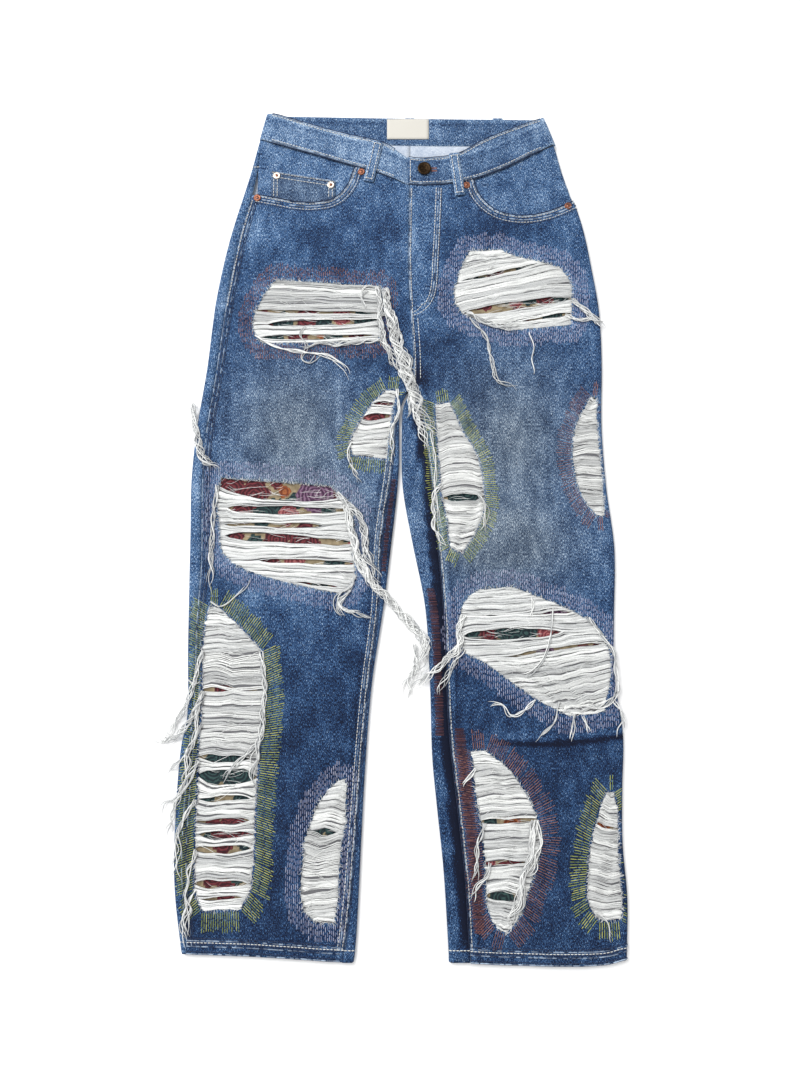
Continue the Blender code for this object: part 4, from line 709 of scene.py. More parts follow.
# Where the cloth is washed pale or dark, as (x, y, half width, half height, change of the fade)
WASH_SPOTS = (
    (-0.090, 0.335, 0.055, 0.040, -0.12), (-0.165, 0.345, 0.030, 0.030, 0.07),
    (0.120, 0.352, 0.060, 0.028, -0.18), (0.190, 0.345, 0.030, 0.030, 0.03),
    (0.030, 0.330, 0.014, 0.080, 0.10), (0.000, 0.260, 0.020, 0.060, -0.05),
    (-0.120, 0.110, 0.070, 0.070, 0.06), (0.140, 0.090, 0.070, 0.100, 0.05),
    (-0.020, 0.160, 0.035, 0.040, -0.10), (0.055, 0.170, 0.030, 0.050, -0.13),
    (-0.120, -0.060, 0.090, 0.060, 0.05), (0.150, -0.040, 0.080, 0.060, 0.04),
    (-0.100, -0.230, 0.050, 0.080, -0.03), (0.190, -0.290, 0.060, 0.040, 0.02),
    (-0.215, 0.100, 0.020, 0.200, -0.04), (0.240, -0.280, 0.020, 0.100, 0.03),
)
GREY_SPOTS = ((-0.125, 0.105, 0.075, 0.075), (0.135, 0.080, 0.075, 0.100),
              (-0.110, -0.010, 0.090, 0.060), (0.120, -0.050, 0.090, 0.050))
FADE_DOWN = across([(-0.500, 0.27), (-0.450, 0.17), (-0.380, 0.17), (-0.250, 0.22), (-0.120, 0.32),
                    (0.000, 0.41), (0.120, 0.37), (0.200, 0.34), (0.250, 0.34), (0.420, 0.40)])
SHIN_FOLD = across([(0.080, -0.266), (0.150, -0.272), (0.200, -0.270), (0.265, -0.263)])
HEM_DEPTH = 0.0127
# How wide the strip of painted shade beside the left inseam is.
SHADE_STRIP_WIDTH = 0.012


def wash_and_shade(x, y):
    """How pale the denim is and how far its blue has greyed, at a place on the flat pattern, with painted
    shade along the shin fold.
    """
    fade = FADE_DOWN(y)
    for spot_x, spot_y, wide, high, change in WASH_SPOTS:
        fade += change * near(x, spot_x, wide) * near(y, spot_y, high)
    grey = 0.0
    for spot_x, spot_y, wide, high in GREY_SPOTS:
        grey += near(x, spot_x, wide) * near(y, spot_y, high)
    fade += 0.10 * near(y, HEM(x) + HEM_DEPTH + 0.001, 0.0025)
    # Painted shade: a dark line along the shin fold, with a paler strip just above it.
    if x > 0.08 and abs(y - SHIN_FOLD(x)) < 0.02:
        fade += ease(x, 0.100, 0.130) * (0.10 * near(y, SHIN_FOLD(x) + 0.006, 0.004)
                                         - 0.50 * near(y, SHIN_FOLD(x), 0.0028))
    fade += 0.06 * max(noise.noise((x * 60, y * 14, 1.7)), -0.5)
    return fade, min(grey, 1.0)


def wash_and_shade_front(leg):
    def colouring_at(x, y):
        fade, grey = wash_and_shade(x, y)
        outseam, inseam = leg.front_outseam(y), leg.front_inseam(y)
        # A pale line on the outseam inside a wider band of painted shade, and painted shade along the outer
        # fold where the cloth turns down.
        fade += 0.14 * near(x, outseam, 0.003) - 0.05 * near(x, outseam, 0.012)
        fade -= 0.03 * near(x, leg.outer.line(y), 0.008)
        if y < CROTCH:
            # A pale line beside the inseam, then a dark line of painted shade further from the seam.
            fade += 0.14 * near(x, inseam + leg.sign * 0.005, 0.0035)
            fade -= 0.20 * near(x, inseam + leg.sign * 0.0105, 0.0020)
        elif x > RISE(y) - 0.02:
            # Painted shade in the crotch crease.
            fade -= 0.38 * near(x, RISE(y) + 0.004, 0.008) * near(y, CROTCH + 0.006, 0.030)
            fade += 0.16 * near(x, RISE(y), 0.003)
            if y > 0.237:
                fade += 0.10 * near(x, FLY_STITCH(y), 0.004)
        return fade, grey
    return colouring_at


def wash_and_shade_back(leg):
    """The back panels' deeper blue, with painted shade on the strip turned up beside the left inseam and a
    darker patch where the strip turns up by the right knee.
    """
    def colouring_at(x, y):
        fade, grey = wash_and_shade(x, y)
        fade = lerp(fade, 0.42, 0.5)
        if leg is RIGHT:
            fade += 0.09 * near(x, leg.back_outseam(y), 0.020)
        # Painted shade on the left strip beside the inseam, where the front's seam allowance would shade
        # it.
        if leg is LEFT and y < CROTCH:
            gap = abs(x - leg.back_inseam(y))
            dark = ease(y, -0.50, -0.48) * (1 - ease(y, 0.10, 0.13))
            fade -= 0.60 * dark * (1 - ease(gap, SHADE_STRIP_WIDTH - 0.003, SHADE_STRIP_WIDTH))
        if leg is RIGHT and y < CROTCH:
            turned_up = 1 - ease(abs(strip_x(leg, x, y) - leg.inner.start(y)), 0.010, 0.014)
            fade -= 0.34 * turned_up * near(y, -0.020, 0.050)
        return fade, grey * 0.4
    return colouring_at


# Shells
FRONT_SPACING = 0.0036
BACK_SPACING = 0.0060
FOLD_COLUMNS = 7


def spread_points(polygon, spacing):
    """A closed outline with its corners no further apart than the spacing."""
    points = []
    for k, (x0, y0) in enumerate(polygon):
        x1, y1 = polygon[(k + 1) % len(polygon)]
        count = max(1, math.ceil(math.hypot(x1 - x0, y1 - y0) / spacing))
        points += [(lerp(x0, x1, j / count), lerp(y0, y1, j / count)) for j in range(count)]
    return points


def within(points, polygon):
    """Which of the points lie in the polygon."""
    x, y = points[:, 0], points[:, 1]
    found = np.zeros(len(points), bool)
    for (x0, y0), (x1, y1) in zip(polygon, polygon[1:] + polygon[:1]):
        if y0 != y1:
            found ^= ((y0 > y) != (y1 > y)) & (x < x0 + (y - y0) * (x1 - x0) / (y1 - y0))
    return found


def flat_mesh(outline, holes, spacing, turned_lines=()):
    """Triangles that fill a flat outline round its holes, as places and corner numbers.

    Along each turned line, given as two bounds of x at a height, the corners lie closer.
    """
    loops = [spread_points(loop, spacing) for loop in [outline] + holes]
    rim = [point for loop in loops for point in loop]
    edges = []
    for loop in loops:
        start = edges[-1][0] + 1 if edges else 0
        edges += [(start + k, start + (k + 1) % len(loop)) for k in range(len(loop))]

    def kept(points):
        keep = within(points, loops[0])
        for loop in loops[1:]:
            keep &= ~within(points, loop)
        return keep

    low, high = np.min(rim, axis=0), np.max(rim, axis=0)
    grid = np.array([(x, y) for y in np.arange(low[1], high[1], spacing)
                     for x in np.arange(low[0], high[0], spacing)])
    tree = kdtree.KDTree(len(rim))
    for k, (x, y) in enumerate(rim):
        tree.insert((x, y, 0.0), k)
    tree.balance()
    inner = [(x, y) for x, y in grid[kept(grid)] if tree.find((x, y, 0.0))[2] > 0.6 * spacing
             and not any(start(y) < x < stop(y) for start, stop in turned_lines)]
    for start, stop in turned_lines:
        fine = np.array([(x, y) for y in np.arange(low[1], high[1], spacing)
                         for x in steps_between(start(y), stop(y), FOLD_COLUMNS)])
        inner += [(x, y) for x, y in fine[kept(fine)] if tree.find((x, y, 0.0))[2] > 0.0006]
    found = delaunay_2d_cdt([Vector(point) for point in rim + inner], edges, [], 0, 1e-6)
    places = np.array([(point.x, point.y) for point in found[0]])
    triangles = np.array(found[2])
    return places, triangles[kept(places[triangles].mean(axis=1))]


def shown(name, mesh, *materials):
    obj = bpy.data.objects.new(name.replace(" ", "_"), mesh)
    bpy.context.scene.collection.objects.link(obj)
    for material in materials:
        mesh.materials.append(material)
    return obj


def keep_point_values(mesh, **values):
    for name, numbers in values.items():
        mesh.attributes.new(name, "FLOAT", "POINT").data.foreach_set("value", numbers)


def dress(name, places, faces, positions, thickness, colouring_at, outer, inner=None):
    """A cloth object with its flat pattern as texture places and its fade, with any painted shade, on every
    corner.
    """
    mesh = bpy.data.meshes.new(name)
    mesh.from_pydata([position + SHIFT for position in positions], [], [list(face) for face in faces])
    mesh.polygons.foreach_set("use_smooth", [True] * len(mesh.polygons))
    corners = np.zeros(len(mesh.loops), int)
    mesh.loops.foreach_get("vertex_index", corners)
    mesh.uv_layers.new(name="cloth").data.foreach_set("uv", np.array(places)[corners].ravel())
    values = [colouring_at(x, y) for x, y in places]
    keep_point_values(mesh, fade=[fade for fade, _ in values], grey=[grey for _, grey in values])
    area = sum(polygon.area for polygon in mesh.polygons)
    obj = shown(name, mesh, outer, inner or outer)
    solid = obj.modifiers.new("thickness", "SOLIDIFY")
    solid.thickness = thickness
    solid.offset = -1.0
    solid.material_offset = 1
    obj["flat_area"] = area
    return obj


def declare(obj, node, flat=None):
    """Hangs a piece under the root and hides the node it stands for; flat, the cut of its cloth, is not
    used.
    """
    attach(obj, "root")
    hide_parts(node)
    return obj


def turned_bounds(leg):
    """Where a leg's cloth turns round each of its folds, as bounds of x at a height."""
    bounds = []
    for fold in (leg.outer, leg.inner):
        if fold.side > 0:
            bounds.append((fold.start, lambda y, fold=fold: fold.start(y) + HALF_TURN))
        else:
            bounds.append((lambda y, fold=fold: fold.start(y) - HALF_TURN, fold.start))
    return bounds


def shell(name, outline, place, spacing, colouring_at, holes=(), beneath_side=False,
          outer=None, inner=None, thickness=DENIM, turned_lines=()):
    places, triangles = flat_mesh(outline, list(holes), spacing, turned_lines)
    if beneath_side:
        triangles = triangles[:, ::-1]
    positions = [place(x, y) for x, y in places]
    return dress(name, places, triangles.tolist(), positions, thickness, colouring_at,
                 outer or DENIM_CLOTH, inner)


def grid_shell(name, rows, flat_rows, colouring_at, thickness=DENIM, outer=None, inner=None):
    """Cloth through rows of positions, each with its place on the flat pattern."""
    wide = len(rows[0])
    faces = [(k * wide + j, k * wide + j + 1, (k + 1) * wide + j + 1, (k + 1) * wide + j)
             for k in range(len(rows) - 1) for j in range(wide - 1)]
    return dress(name, [place for row in flat_rows for place in row], faces,
                 [position for row in rows for position in row], thickness, colouring_at,
                 outer or DENIM_CLOTH, inner)


def extent(points):
    xs, ys = [x for x, _ in points], [y for _, y in points]
    return max(xs) - min(xs), max(ys) - min(ys)


def steps_between(start, stop, count):
    return [lerp(start, stop, k / count) for k in range(count + 1)]


def hem_height(leg, x):
    low, high = sorted((leg.outer.line(-0.5), leg.inner.line(-0.5)))
    return HEM(min(max(x, low), high))


BAND_SEAM = 0.0006
JAG = 0.0007
JAG_SPACING = 0.0016


def rip_hole(name, rng):
    """A rip's outline with a frayed, uneven edge."""
    rip = RIPS[name]
    outline = [(p.x, p.y) for p in rip_edge(rip["left"]) + rip_edge(rip["right"])[::-1]]
    return [(x + rng.uniform(-JAG, JAG), y + rng.uniform(-JAG, JAG))
            for x, y in spread_points(outline, JAG_SPACING)]


def rip_wash(colouring_at, names):
    """The cloth is rubbed pale right beside its rips."""
    tree_points = []
    for name in names:
        rip = RIPS[name]
        outline = [(p.x, p.y) for p in rip_edge(rip["left"]) + rip_edge(rip["right"])[::-1]]
        tree_points += spread_points(outline, 0.002)
    tree = kdtree.KDTree(len(tree_points))
    for k, (x, y) in enumerate(tree_points):
        tree.insert((x, y, 0.0), k)
    tree.balance()

    def rubbed(x, y):
        fade, grey = colouring_at(x, y)
        away = tree.find((x, y, 0.0))[2]
        return fade + 0.16 * math.exp(-away / 0.004), grey
    return rubbed


def front_outline(leg, mouth, mouth_y):
    """A front's flat pattern: outseam, pocket mouth, band seam, rise, inseam and hem."""
    inward = leg.sign * SEAM / 2
    hem_y = hem_height(leg, leg.outer.line(-0.5))
    points = [(leg.front_outseam(y) - inward, y) for y in steps_between(hem_y, mouth_y, 90)]
    points += mouth
    inner_x = mouth[-1][0]
    for x in steps_between(inner_x, RISE(0.408) + inward, 24):
        by_fly = 0.0008 * ease(x, -0.010, 0.0) * (1 - ease(x, 0.016, 0.020))
        points.append((x, FRONT_BAND_LOW(x) - BAND_SEAM - by_fly))
    points += [(RISE(y) + inward, y) for y in steps_between(0.405, CROTCH, 26)]
    points += [(leg.front_inseam(y) + inward, y) for y in steps_between(0.148, -0.500, 90)]
    start, stop = leg.front_inseam(-0.5) + inward, leg.front_outseam(hem_y) - inward
    points += [(x, hem_height(leg, x)) for x in steps_between(start, stop, 20)]
    return points[:-1]


def back_outline(leg):
    inward = leg.sign * SEAM / 2
    hem_y = hem_height(leg, leg.outer.line(-0.5))
    top_y = YOKE_SEAM(leg.outer.line(0.43)) - SEAM / 2
    points = [(leg.back_outseam(y) - inward, y) for y in steps_between(hem_y, top_y, 90)]
    points += [(x, YOKE_SEAM(x) - SEAM / 2)
               for x in steps_between(leg.back_outseam(top_y) - inward, CENTRE_BACK(0.4) + inward, 24)]
    points += [(CENTRE_BACK(y) + inward, y) for y in steps_between(0.398, CROTCH, 26)]
    points += [(leg.back_inseam(y) + inward, y) for y in steps_between(0.148, -0.500, 90)]
    start, stop = leg.back_inseam(-0.5) + inward, leg.back_outseam(hem_y) - inward
    points += [(x, hem_height(leg, x)) for x in steps_between(start, stop, 20)]
    return points[:-1]


def yoke_outline(leg):
    inward = leg.sign * SEAM / 2
    low_y = YOKE_SEAM(leg.outer.line(0.43)) + SEAM / 2
    high_y = BACK_BAND_LOW(leg.outer.line(0.47)) - SEAM
    points = [(leg.back_outseam(y) - inward, y) for y in steps_between(low_y, high_y, 6)]
    outer_x, centre = points[-1][0], CENTRE_BACK(0.43) + inward
    points += [(x, BACK_BAND_LOW(x) - SEAM) for x in steps_between(outer_x, centre, 20)]
    points += [(x, YOKE_SEAM(x) + SEAM / 2)
               for x in steps_between(centre, leg.back_outseam(low_y) - inward, 20)]
    return points[:-1]


def panels():
    rng = random.Random(11)
    mouths = {RIGHT: (list(RIGHT_POCKET_MOUTH) + [(-0.0525, 0.4346)], 0.3955),
              LEFT: ([(0.095, 0.4172)] + list(LEFT_POCKET_MOUTH)[1:], 0.389)}
    mouths[LEFT] = (mouths[LEFT][0][::-1], mouths[LEFT][1])
    for leg in LEGS:
        mouth, mouth_y = mouths[leg]
        names = [name for name in RIPS if leg_of(name) is leg]
        outline = front_outline(leg, mouth, mouth_y)
        front = shell("Front " + leg.name, outline, leg.front, FRONT_SPACING,
                      rip_wash(wash_and_shade_front(leg), names), [rip_hole(name, rng) for name in names],
                      inner=DENIM_REVERSE, turned_lines=turned_bounds(leg))
        declare(front, "front_" + leg.name, flat=extent(outline))
        outline = back_outline(leg)
        back = shell("Back " + leg.name, outline, leg.back, BACK_SPACING, wash_and_shade_back(leg),
                     beneath_side=True, inner=DENIM_REVERSE, turned_lines=turned_bounds(leg))
        declare(back, "back_" + leg.name, flat=extent(outline))
        outline = yoke_outline(leg)
        yoke = shell("Yoke " + leg.name, outline, leg.back, BACK_SPACING, wash_and_shade_back(leg),
                     beneath_side=True, inner=DENIM_REVERSE, turned_lines=turned_bounds(leg)[:1])
        declare(yoke, "yoke_" + leg.name, flat=extent(outline))


# Waistband, facings, coin pocket, fly shield, loops, back pockets and label
LAP_EDGE = 0.0135
LAP_UNDER_END = 0.046
LAP_STEP = 0.007
LAP_UNDER_DEPTH = BAND_CLOTH - BAND_PROUD + LAYER_GAP
FACING_DEPTH = DENIM + LAYER_GAP + 0.0001


def band_edge(front, back, level):
    """The band's lower or upper edge, from the lap round the back to the end beneath the lap."""
    edge = [on_top(x, front(x), -BAND_PROUD) for x in steps_between(LAP_EDGE, 0.181, 68)]
    y = back(LEFT_OUTER.line(level))
    edge += [LEFT_OUTER.at(HALF_TURN * k / 6, y, -BAND_PROUD) for k in range(7)]
    edge += [beneath(x, back(x), -BAND_PROUD) for x in steps_between(0.168, -0.146, 110)]
    y = back(RIGHT_OUTER.line(level))
    edge += [RIGHT_OUTER.at(HALF_TURN * k / 6, y, -BAND_PROUD) for k in range(6, -1, -1)]
    edge += [on_top(x, front(x), -BAND_PROUD) for x in steps_between(-0.158, -0.004, 62)]
    edge += [on_top(x, front(x), -BAND_PROUD) for x in steps_between(-0.002, LAP_EDGE - LAP_STEP, 4)]
    edge += [on_top(x, front(x), LAP_UNDER_DEPTH)
             for x in steps_between(LAP_EDGE - 0.001, LAP_UNDER_END, 12)]
    return edge


def band_wash(x, y):
    fade = 0.58 + 0.10 * max(noise.noise((x * 30, y * 30, 5.0)), -0.3)
    rim = min(y, 0.035 - y)
    fade += 0.16 * near(rim, 0.0, 0.002) - 0.12 * near(rim, 0.0055, 0.002)
    left_front = 1 - ease(x, 0.15, 0.19)
    return fade - 0.14 * left_front, 0.15


def waistband():
    low = band_edge(FRONT_BAND_LOW, BACK_BAND_LOW, 0.468)
    high = band_edge(FRONT_BAND_HIGH, BACK_BAND_HIGH, 0.502)
    along = [0.0]
    for k in range(1, len(low)):
        step = ((low[k] + high[k]) - (low[k - 1] + high[k - 1])).length / 2
        along.append(along[-1] + step)
    rows, flat_rows = [], []
    for k in range(11):
        f = k / 10
        pillow = 0.0003 * math.sin(math.pi * f)
        rows.append([a.lerp(b, f) + Vector((0, 0, pillow if a.z > FOLD_RADIUS + 0.002 else 0))
                     for a, b in zip(low, high)])
        flat_rows.append([(s, (a - b).length * f) for s, a, b in zip(along, low, high)])
    band = grid_shell("Waistband", rows, flat_rows, band_wash, BAND_CLOTH, inner=BAND_INSIDE)
    return declare(band, "waistband", flat=(along[-1], 0.0385))


def facing_wash(fade):
    def colouring_at(x, y):
        return fade + 0.05 * noise.noise((x * 50, y * 50, 2.0)), 0.05
    return colouring_at


def facing(leg, mouth, inner_x, fade):
    """The pocket's back layer, out to the outseam."""
    mouth_at = across(list(mouth))

    def place(x, y):
        away = abs(x - leg.front_outseam(y))
        depth = lerp(0.0002, FACING_DEPTH, ease(away, 0.002, 0.016))
        below = mouth_at(x) + 0.002 - y
        return leg.front(x, y, max(depth, FACING_DEPTH * ease(below, -0.004, 0.0)))

    outer_x = leg.front_outseam(0.43) - leg.sign * SEAM
    steps = steps_between(outer_x, inner_x, 24)
    outline = [(x, mouth_at(x) - 0.014) for x in steps]
    for x in steps[::-1]:
        top_x = min(max(x, -0.174), 0.199)
        outline.append((x, FRONT_BAND_LOW(top_x) - BAND_SEAM))
    piece = shell("Pocket facing " + leg.name, outline, place, 0.0045, facing_wash(fade),
                  inner=DENIM_REVERSE)
    return declare(piece, "pocket_facing_" + leg.name, extent(outline))


def coin_pocket():
    mouth_at = across(list(RIGHT_POCKET_MOUTH))
    depth = FACING_DEPTH - LAYER_GAP - 0.0010
    rows = []
    for f in steps_between(0, 1, 12):
        row = []
        for g in steps_between(0, 1, 26):
            x = lerp(-0.1580, -0.0775, g)
            low, high = mouth_at(x) - 0.001, lerp(0.4285, 0.4150, g)
            row.append((x, lerp(low, high, f)))
        rows.append(row)

    def place(x, y):
        under_front = FACING_DEPTH * (1 - ease(y, mouth_at(x) - 0.001, mouth_at(x) + 0.003))
        return on_top(x, y, min(max(depth, under_front), FACING_DEPTH))

    positions = [[place(x, y) for x, y in row] for row in rows]

    def colouring_at(x, y):
        top = lerp(0.4285, 0.4150, (x + 0.158) / 0.0805)
        return 0.40 + 0.10 * near(y, top, 0.003) + 0.06 * noise.noise((x * 70, y * 70, 9.0)), 0.5
    piece = grid_shell("Coin pocket", positions, rows, colouring_at, 0.0010)
    return declare(piece, "coin_pocket", flat=(0.081, 0.032))


def fly_shield():
    flat_rows = [[(x, y) for x in steps_between(0.002, 0.044, 8)] for y in steps_between(0.225, 0.405, 24)]
    rows = [[Vector((x, y, underside(y) + FLAT_HEIGHT - FACING_DEPTH)) for x, y in row]
            for row in flat_rows]
    piece = grid_shell("Fly shield", rows, flat_rows, facing_wash(0.30), inner=DENIM_REVERSE)
    return declare(piece, "fly_shield", (0.042, 0.180))


LOOP_WIDTH = 0.0125
BACK_LOOPS = {"right": -0.100, "centre": 0.016, "left": 0.128}
BACK_LOOP_LOW = 0.446
BACK_LOOP_HIGH = 0.5045
BACK_POCKET_MIDDLES = (-0.080, 0.114)
FRONT_LOOPS = {"right": ((-0.036, 0.413), (-0.024, 0.466)), "left": ((0.0785, 0.3945), (0.071, 0.4505))}
LOOP_CLOTH = 0.0012


def loop_wash(x, y):
    return 0.58 + 0.22 * near(abs(x), LOOP_WIDTH / 2, 0.0014) - 0.16 * near(abs(x), 0.0035, 0.0012), 0.1


def belt_loop(node, bottom, top, on_front):
    """A belt loop over the band."""
    heading = Vector((top[0] - bottom[0], top[1] - bottom[1]))
    aside = Vector((heading.y, -heading.x)).normalized()
    rows, flat_rows = [], []
    for f in steps_between(0, 1, 16):
        row, flat_row = [], []
        for g in steps_between(-1, 1, 6):
            x = lerp(bottom[0], top[0], f) + aside.x * g * LOOP_WIDTH / 2
            y = lerp(bottom[1], top[1], f) + aside.y * g * LOOP_WIDTH / 2
            crown = 0.0004 * (1 - g * g)
            if on_front:
                bow = 0.0008 * math.sin(math.pi * f)
                row.append(on_top(x, y, -BAND_PROUD - LAYER_GAP - LOOP_CLOTH - bow - crown + 0.0001))
            else:
                row.append(Vector((x, y, 0.0)))
            flat_row.append((g * LOOP_WIDTH / 2, f * heading.length))
        rows.append(row if on_front else row[::-1])
        flat_rows.append(flat_row if on_front else flat_row[::-1])
    piece = grid_shell(node.replace("_", " ").capitalize(), rows, flat_rows, loop_wash, LOOP_CLOTH)
    return declare(piece, node, flat=(LOOP_WIDTH, heading.length + 0.001))


def back_pocket(leg, centre):
    rows = []
    for f in steps_between(0, 1, 20):
        row = []
        for s in steps_between(-1, 1, 20):
            low = lerp(0.284, 0.300, abs(s))
            row.append((centre - s * lerp(0.128, 0.145, f) / 2, lerp(low, 0.425, f)))
        rows.append(row)
    positions = [[Vector((x, y, 0.0)) for x, y in row] for row in rows]

    def colouring_at(x, y):
        rim = abs(abs(x - centre) - 0.068)
        return 0.46 + 0.18 * near(rim, 0.0, 0.004) + 0.15 * near(y, 0.422, 0.004), 0.2
    piece = grid_shell("Back pocket " + leg.name, positions, rows, colouring_at)
    return declare(piece, "back_pocket_" + leg.name, flat=(0.1451, 0.1411))


def inner_label():
    face = BAND_LIFT - BAND_PROUD + BAND_CLOTH + LAYER_GAP + 0.0005
    flat_rows = [[(x, y) for x in steps_between(-0.013, 0.040, 14)]
                 for y in steps_between(0.4735, 0.5010, 9)]
    rows = [[Vector((x, y, face + 0.0003 * math.sin(95 * x) * ease(y, 0.475, 0.498))) for x, y in row]
            for row in flat_rows]
    piece = grid_shell("Inner label", rows, flat_rows, facing_wash(0.9), 0.0005, outer=LABEL)
    return declare(piece, "inner_label", (0.053, 0.0275))


# Yarns
class Strands:
    """Many yarns kept as one mesh. Each is a three-sided tube with its own tone."""

    TURN = np.array([math.radians(90 + 120 * k) for k in range(3)])

    def __init__(self):
        self.rings = []
        self.faces = []
        self.tones = []
        self.slots = []
        self.count = 0

    def add(self, points, radius, tone=0.5, start=1.0, end=1.0, slot=0):
        """A yarn through the points; start and end are the shares of its radius there."""
        line = np.array([tuple(point) for point in points])
        heading = np.gradient(line, axis=0)
        side = np.cross(heading, (0.0, 0.0, 1.0))
        side /= np.maximum(np.linalg.norm(side, axis=1, keepdims=True), 1e-9)
        up = np.cross(side, heading)
        up /= np.maximum(np.linalg.norm(up, axis=1, keepdims=True), 1e-9)
        size = len(line)
        f = np.linspace(0, 1, size)
        radii = radius * np.minimum(1.0, np.minimum(start + 6 * f, end + 6 * (1 - f)))
        ring = (np.cos(self.TURN)[None, :, None] * side[:, None, :]
                + np.sin(self.TURN)[None, :, None] * up[:, None, :])
        self.rings.append((line[:, None, :] + radii[:, None, None] * ring).reshape(-1, 3))
        base = self.count + 3 * np.arange(size - 1)[:, None]
        k = np.arange(3)[None, :]
        following = (k + 1) % 3
        quads = np.stack([base + k, base + following, base + 3 + following, base + 3 + k], axis=2)
        self.faces.append(quads.reshape(-1, 4))
        self.tones.append(np.full(3 * size, tone))
        self.slots += [slot] * (3 * (size - 1))
        self.count += 3 * size

    def sheet(self, rows, tone=0.5, slot=0):
        """A plain layer through rows of positions, the upper row first."""
        wide = len(rows[0])
        self.rings.append(np.array([tuple(place) for row in rows for place in row]))
        corner = self.count + np.arange(len(rows) - 1)[:, None] * wide + np.arange(wide - 1)[None, :]
        quads = np.stack([corner + wide, corner + wide + 1, corner + 1, corner], axis=2)
        self.faces.append(quads.reshape(-1, 4))
        self.tones.append(np.full(wide * len(rows), tone))
        self.slots += [slot] * ((len(rows) - 1) * (wide - 1))
        self.count += wide * len(rows)

    def object(self, name, *materials):
        mesh = bpy.data.meshes.new(name)
        places = np.concatenate(self.rings) + np.array(SHIFT)
        places[:, 2] = np.maximum(places[:, 2], 0.0)
        mesh.from_pydata(places.tolist(), [], np.concatenate(self.faces).tolist())
        mesh.polygons.foreach_set("use_smooth", [True] * len(mesh.polygons))
        mesh.polygons.foreach_set("material_index", self.slots)
        keep_point_values(mesh, tone=np.concatenate(self.tones))
        return shown(name, mesh, *materials)


def smooth_route(points, step=0.0025):
    """Places at even steps along a smooth line through the points."""
    along = [0.0]
    for a, b in zip(points, points[1:]):
        along.append(along[-1] + math.dist(a, b))
    along_x = smooth(list(zip(along, (x for x, _ in points))))
    along_y = smooth(list(zip(along, (y for _, y in points))))
    count = max(3, round(along[-1] / step))
    return [(along_x(along[-1] * k / count), along_y(along[-1] * k / count)) for k in range(count + 1)]


def side_of(line, k):
    before, after = line[max(k - 1, 0)], line[min(k + 1, len(line) - 1)]
    heading = Vector((after[0] - before[0], after[1] - before[1])).normalized()
    return Vector((-heading.y, heading.x))


EDGE_DROP = 0.009
FLOOR_CLEAR = 0.0004


def cover(x, y):
    """The height that a loose yarn rests on, easing from the garment's edge to the floor."""
    outside = -inside_edge(x, y)
    if outside <= 0:
        return topside(x, y)
    if outside >= EDGE_DROP:
        return FLOOR_CLEAR
    drop = (underside(y) + FLAT_HEIGHT) * (1 - (outside / EDGE_DROP) ** 2)
    return max(drop, FLOOR_CLEAR)


# Weft yarns across the rips
WEFT_PITCH = 0.00082
WEFT_RADIUS = 0.00048
WEFT_TUCK = 0.0018
WEFT_COLUMN = 0.0062
BUNDLE_YARNS = (4, 9)
# Depth of the painted shade sheet under the weft.
SHADE_SHEET_DEPTH = 0.0010
CRINKLED = {"left_outer_thigh": 0.0013, "left_knee": 0.0008, "left_ankle": 0.0013,
            "right_ankle": 0.0013, "right_shin": 0.0009, "left_inner_thigh": 0.0011,
            "left_shin": 0.0009, "left_thigh": 0.0005, "right_thigh": 0.0004,
            "right_knee": 0.0006, "right_inner_thigh": 0.0008}
OPEN_AT_TOP = ("right_knee",)


class Rip:
    """A rip's edges and the bands of weft that are left across it."""

    def __init__(self, name):
        self.name = name
        self.table = RIPS[name]
        self.left, self.right = rip_edge(self.table["left"]), rip_edge(self.table["right"])
        self.width = max((b - a).length for a, b in zip(self.left, self.right))
        self.length = max(edge_length(self.table["left"]), edge_length(self.table["right"]))

    def columns(self, spacing):
        return steps_between(0.0, 1.0, max(6, math.ceil(self.width / spacing)))

    def bands(self, columns):
        """Each band's upper and lower edge at each column, as fractions down the rip."""
        rows = [[0.0] + gap_edges(self.table, self.length, u) + [1.0] for u in columns]
        bands = [[(row[k], row[k + 1]) for row in rows] for k in range(0, len(rows[0]), 2)]
        return bands[1:] if self.name in OPEN_AT_TOP else bands

    def tallest(self, band):
        return max(bottom - top for top, bottom in band) * self.length

    def place(self, u, f, drop):
        f = min(max(f, 0.0), 1.0)
        a, b = edge_point(self.left, f), edge_point(self.right, f)
        return on_top(lerp(a.x - WEFT_TUCK, b.x + WEFT_TUCK, u), lerp(a.y, b.y, u), drop)


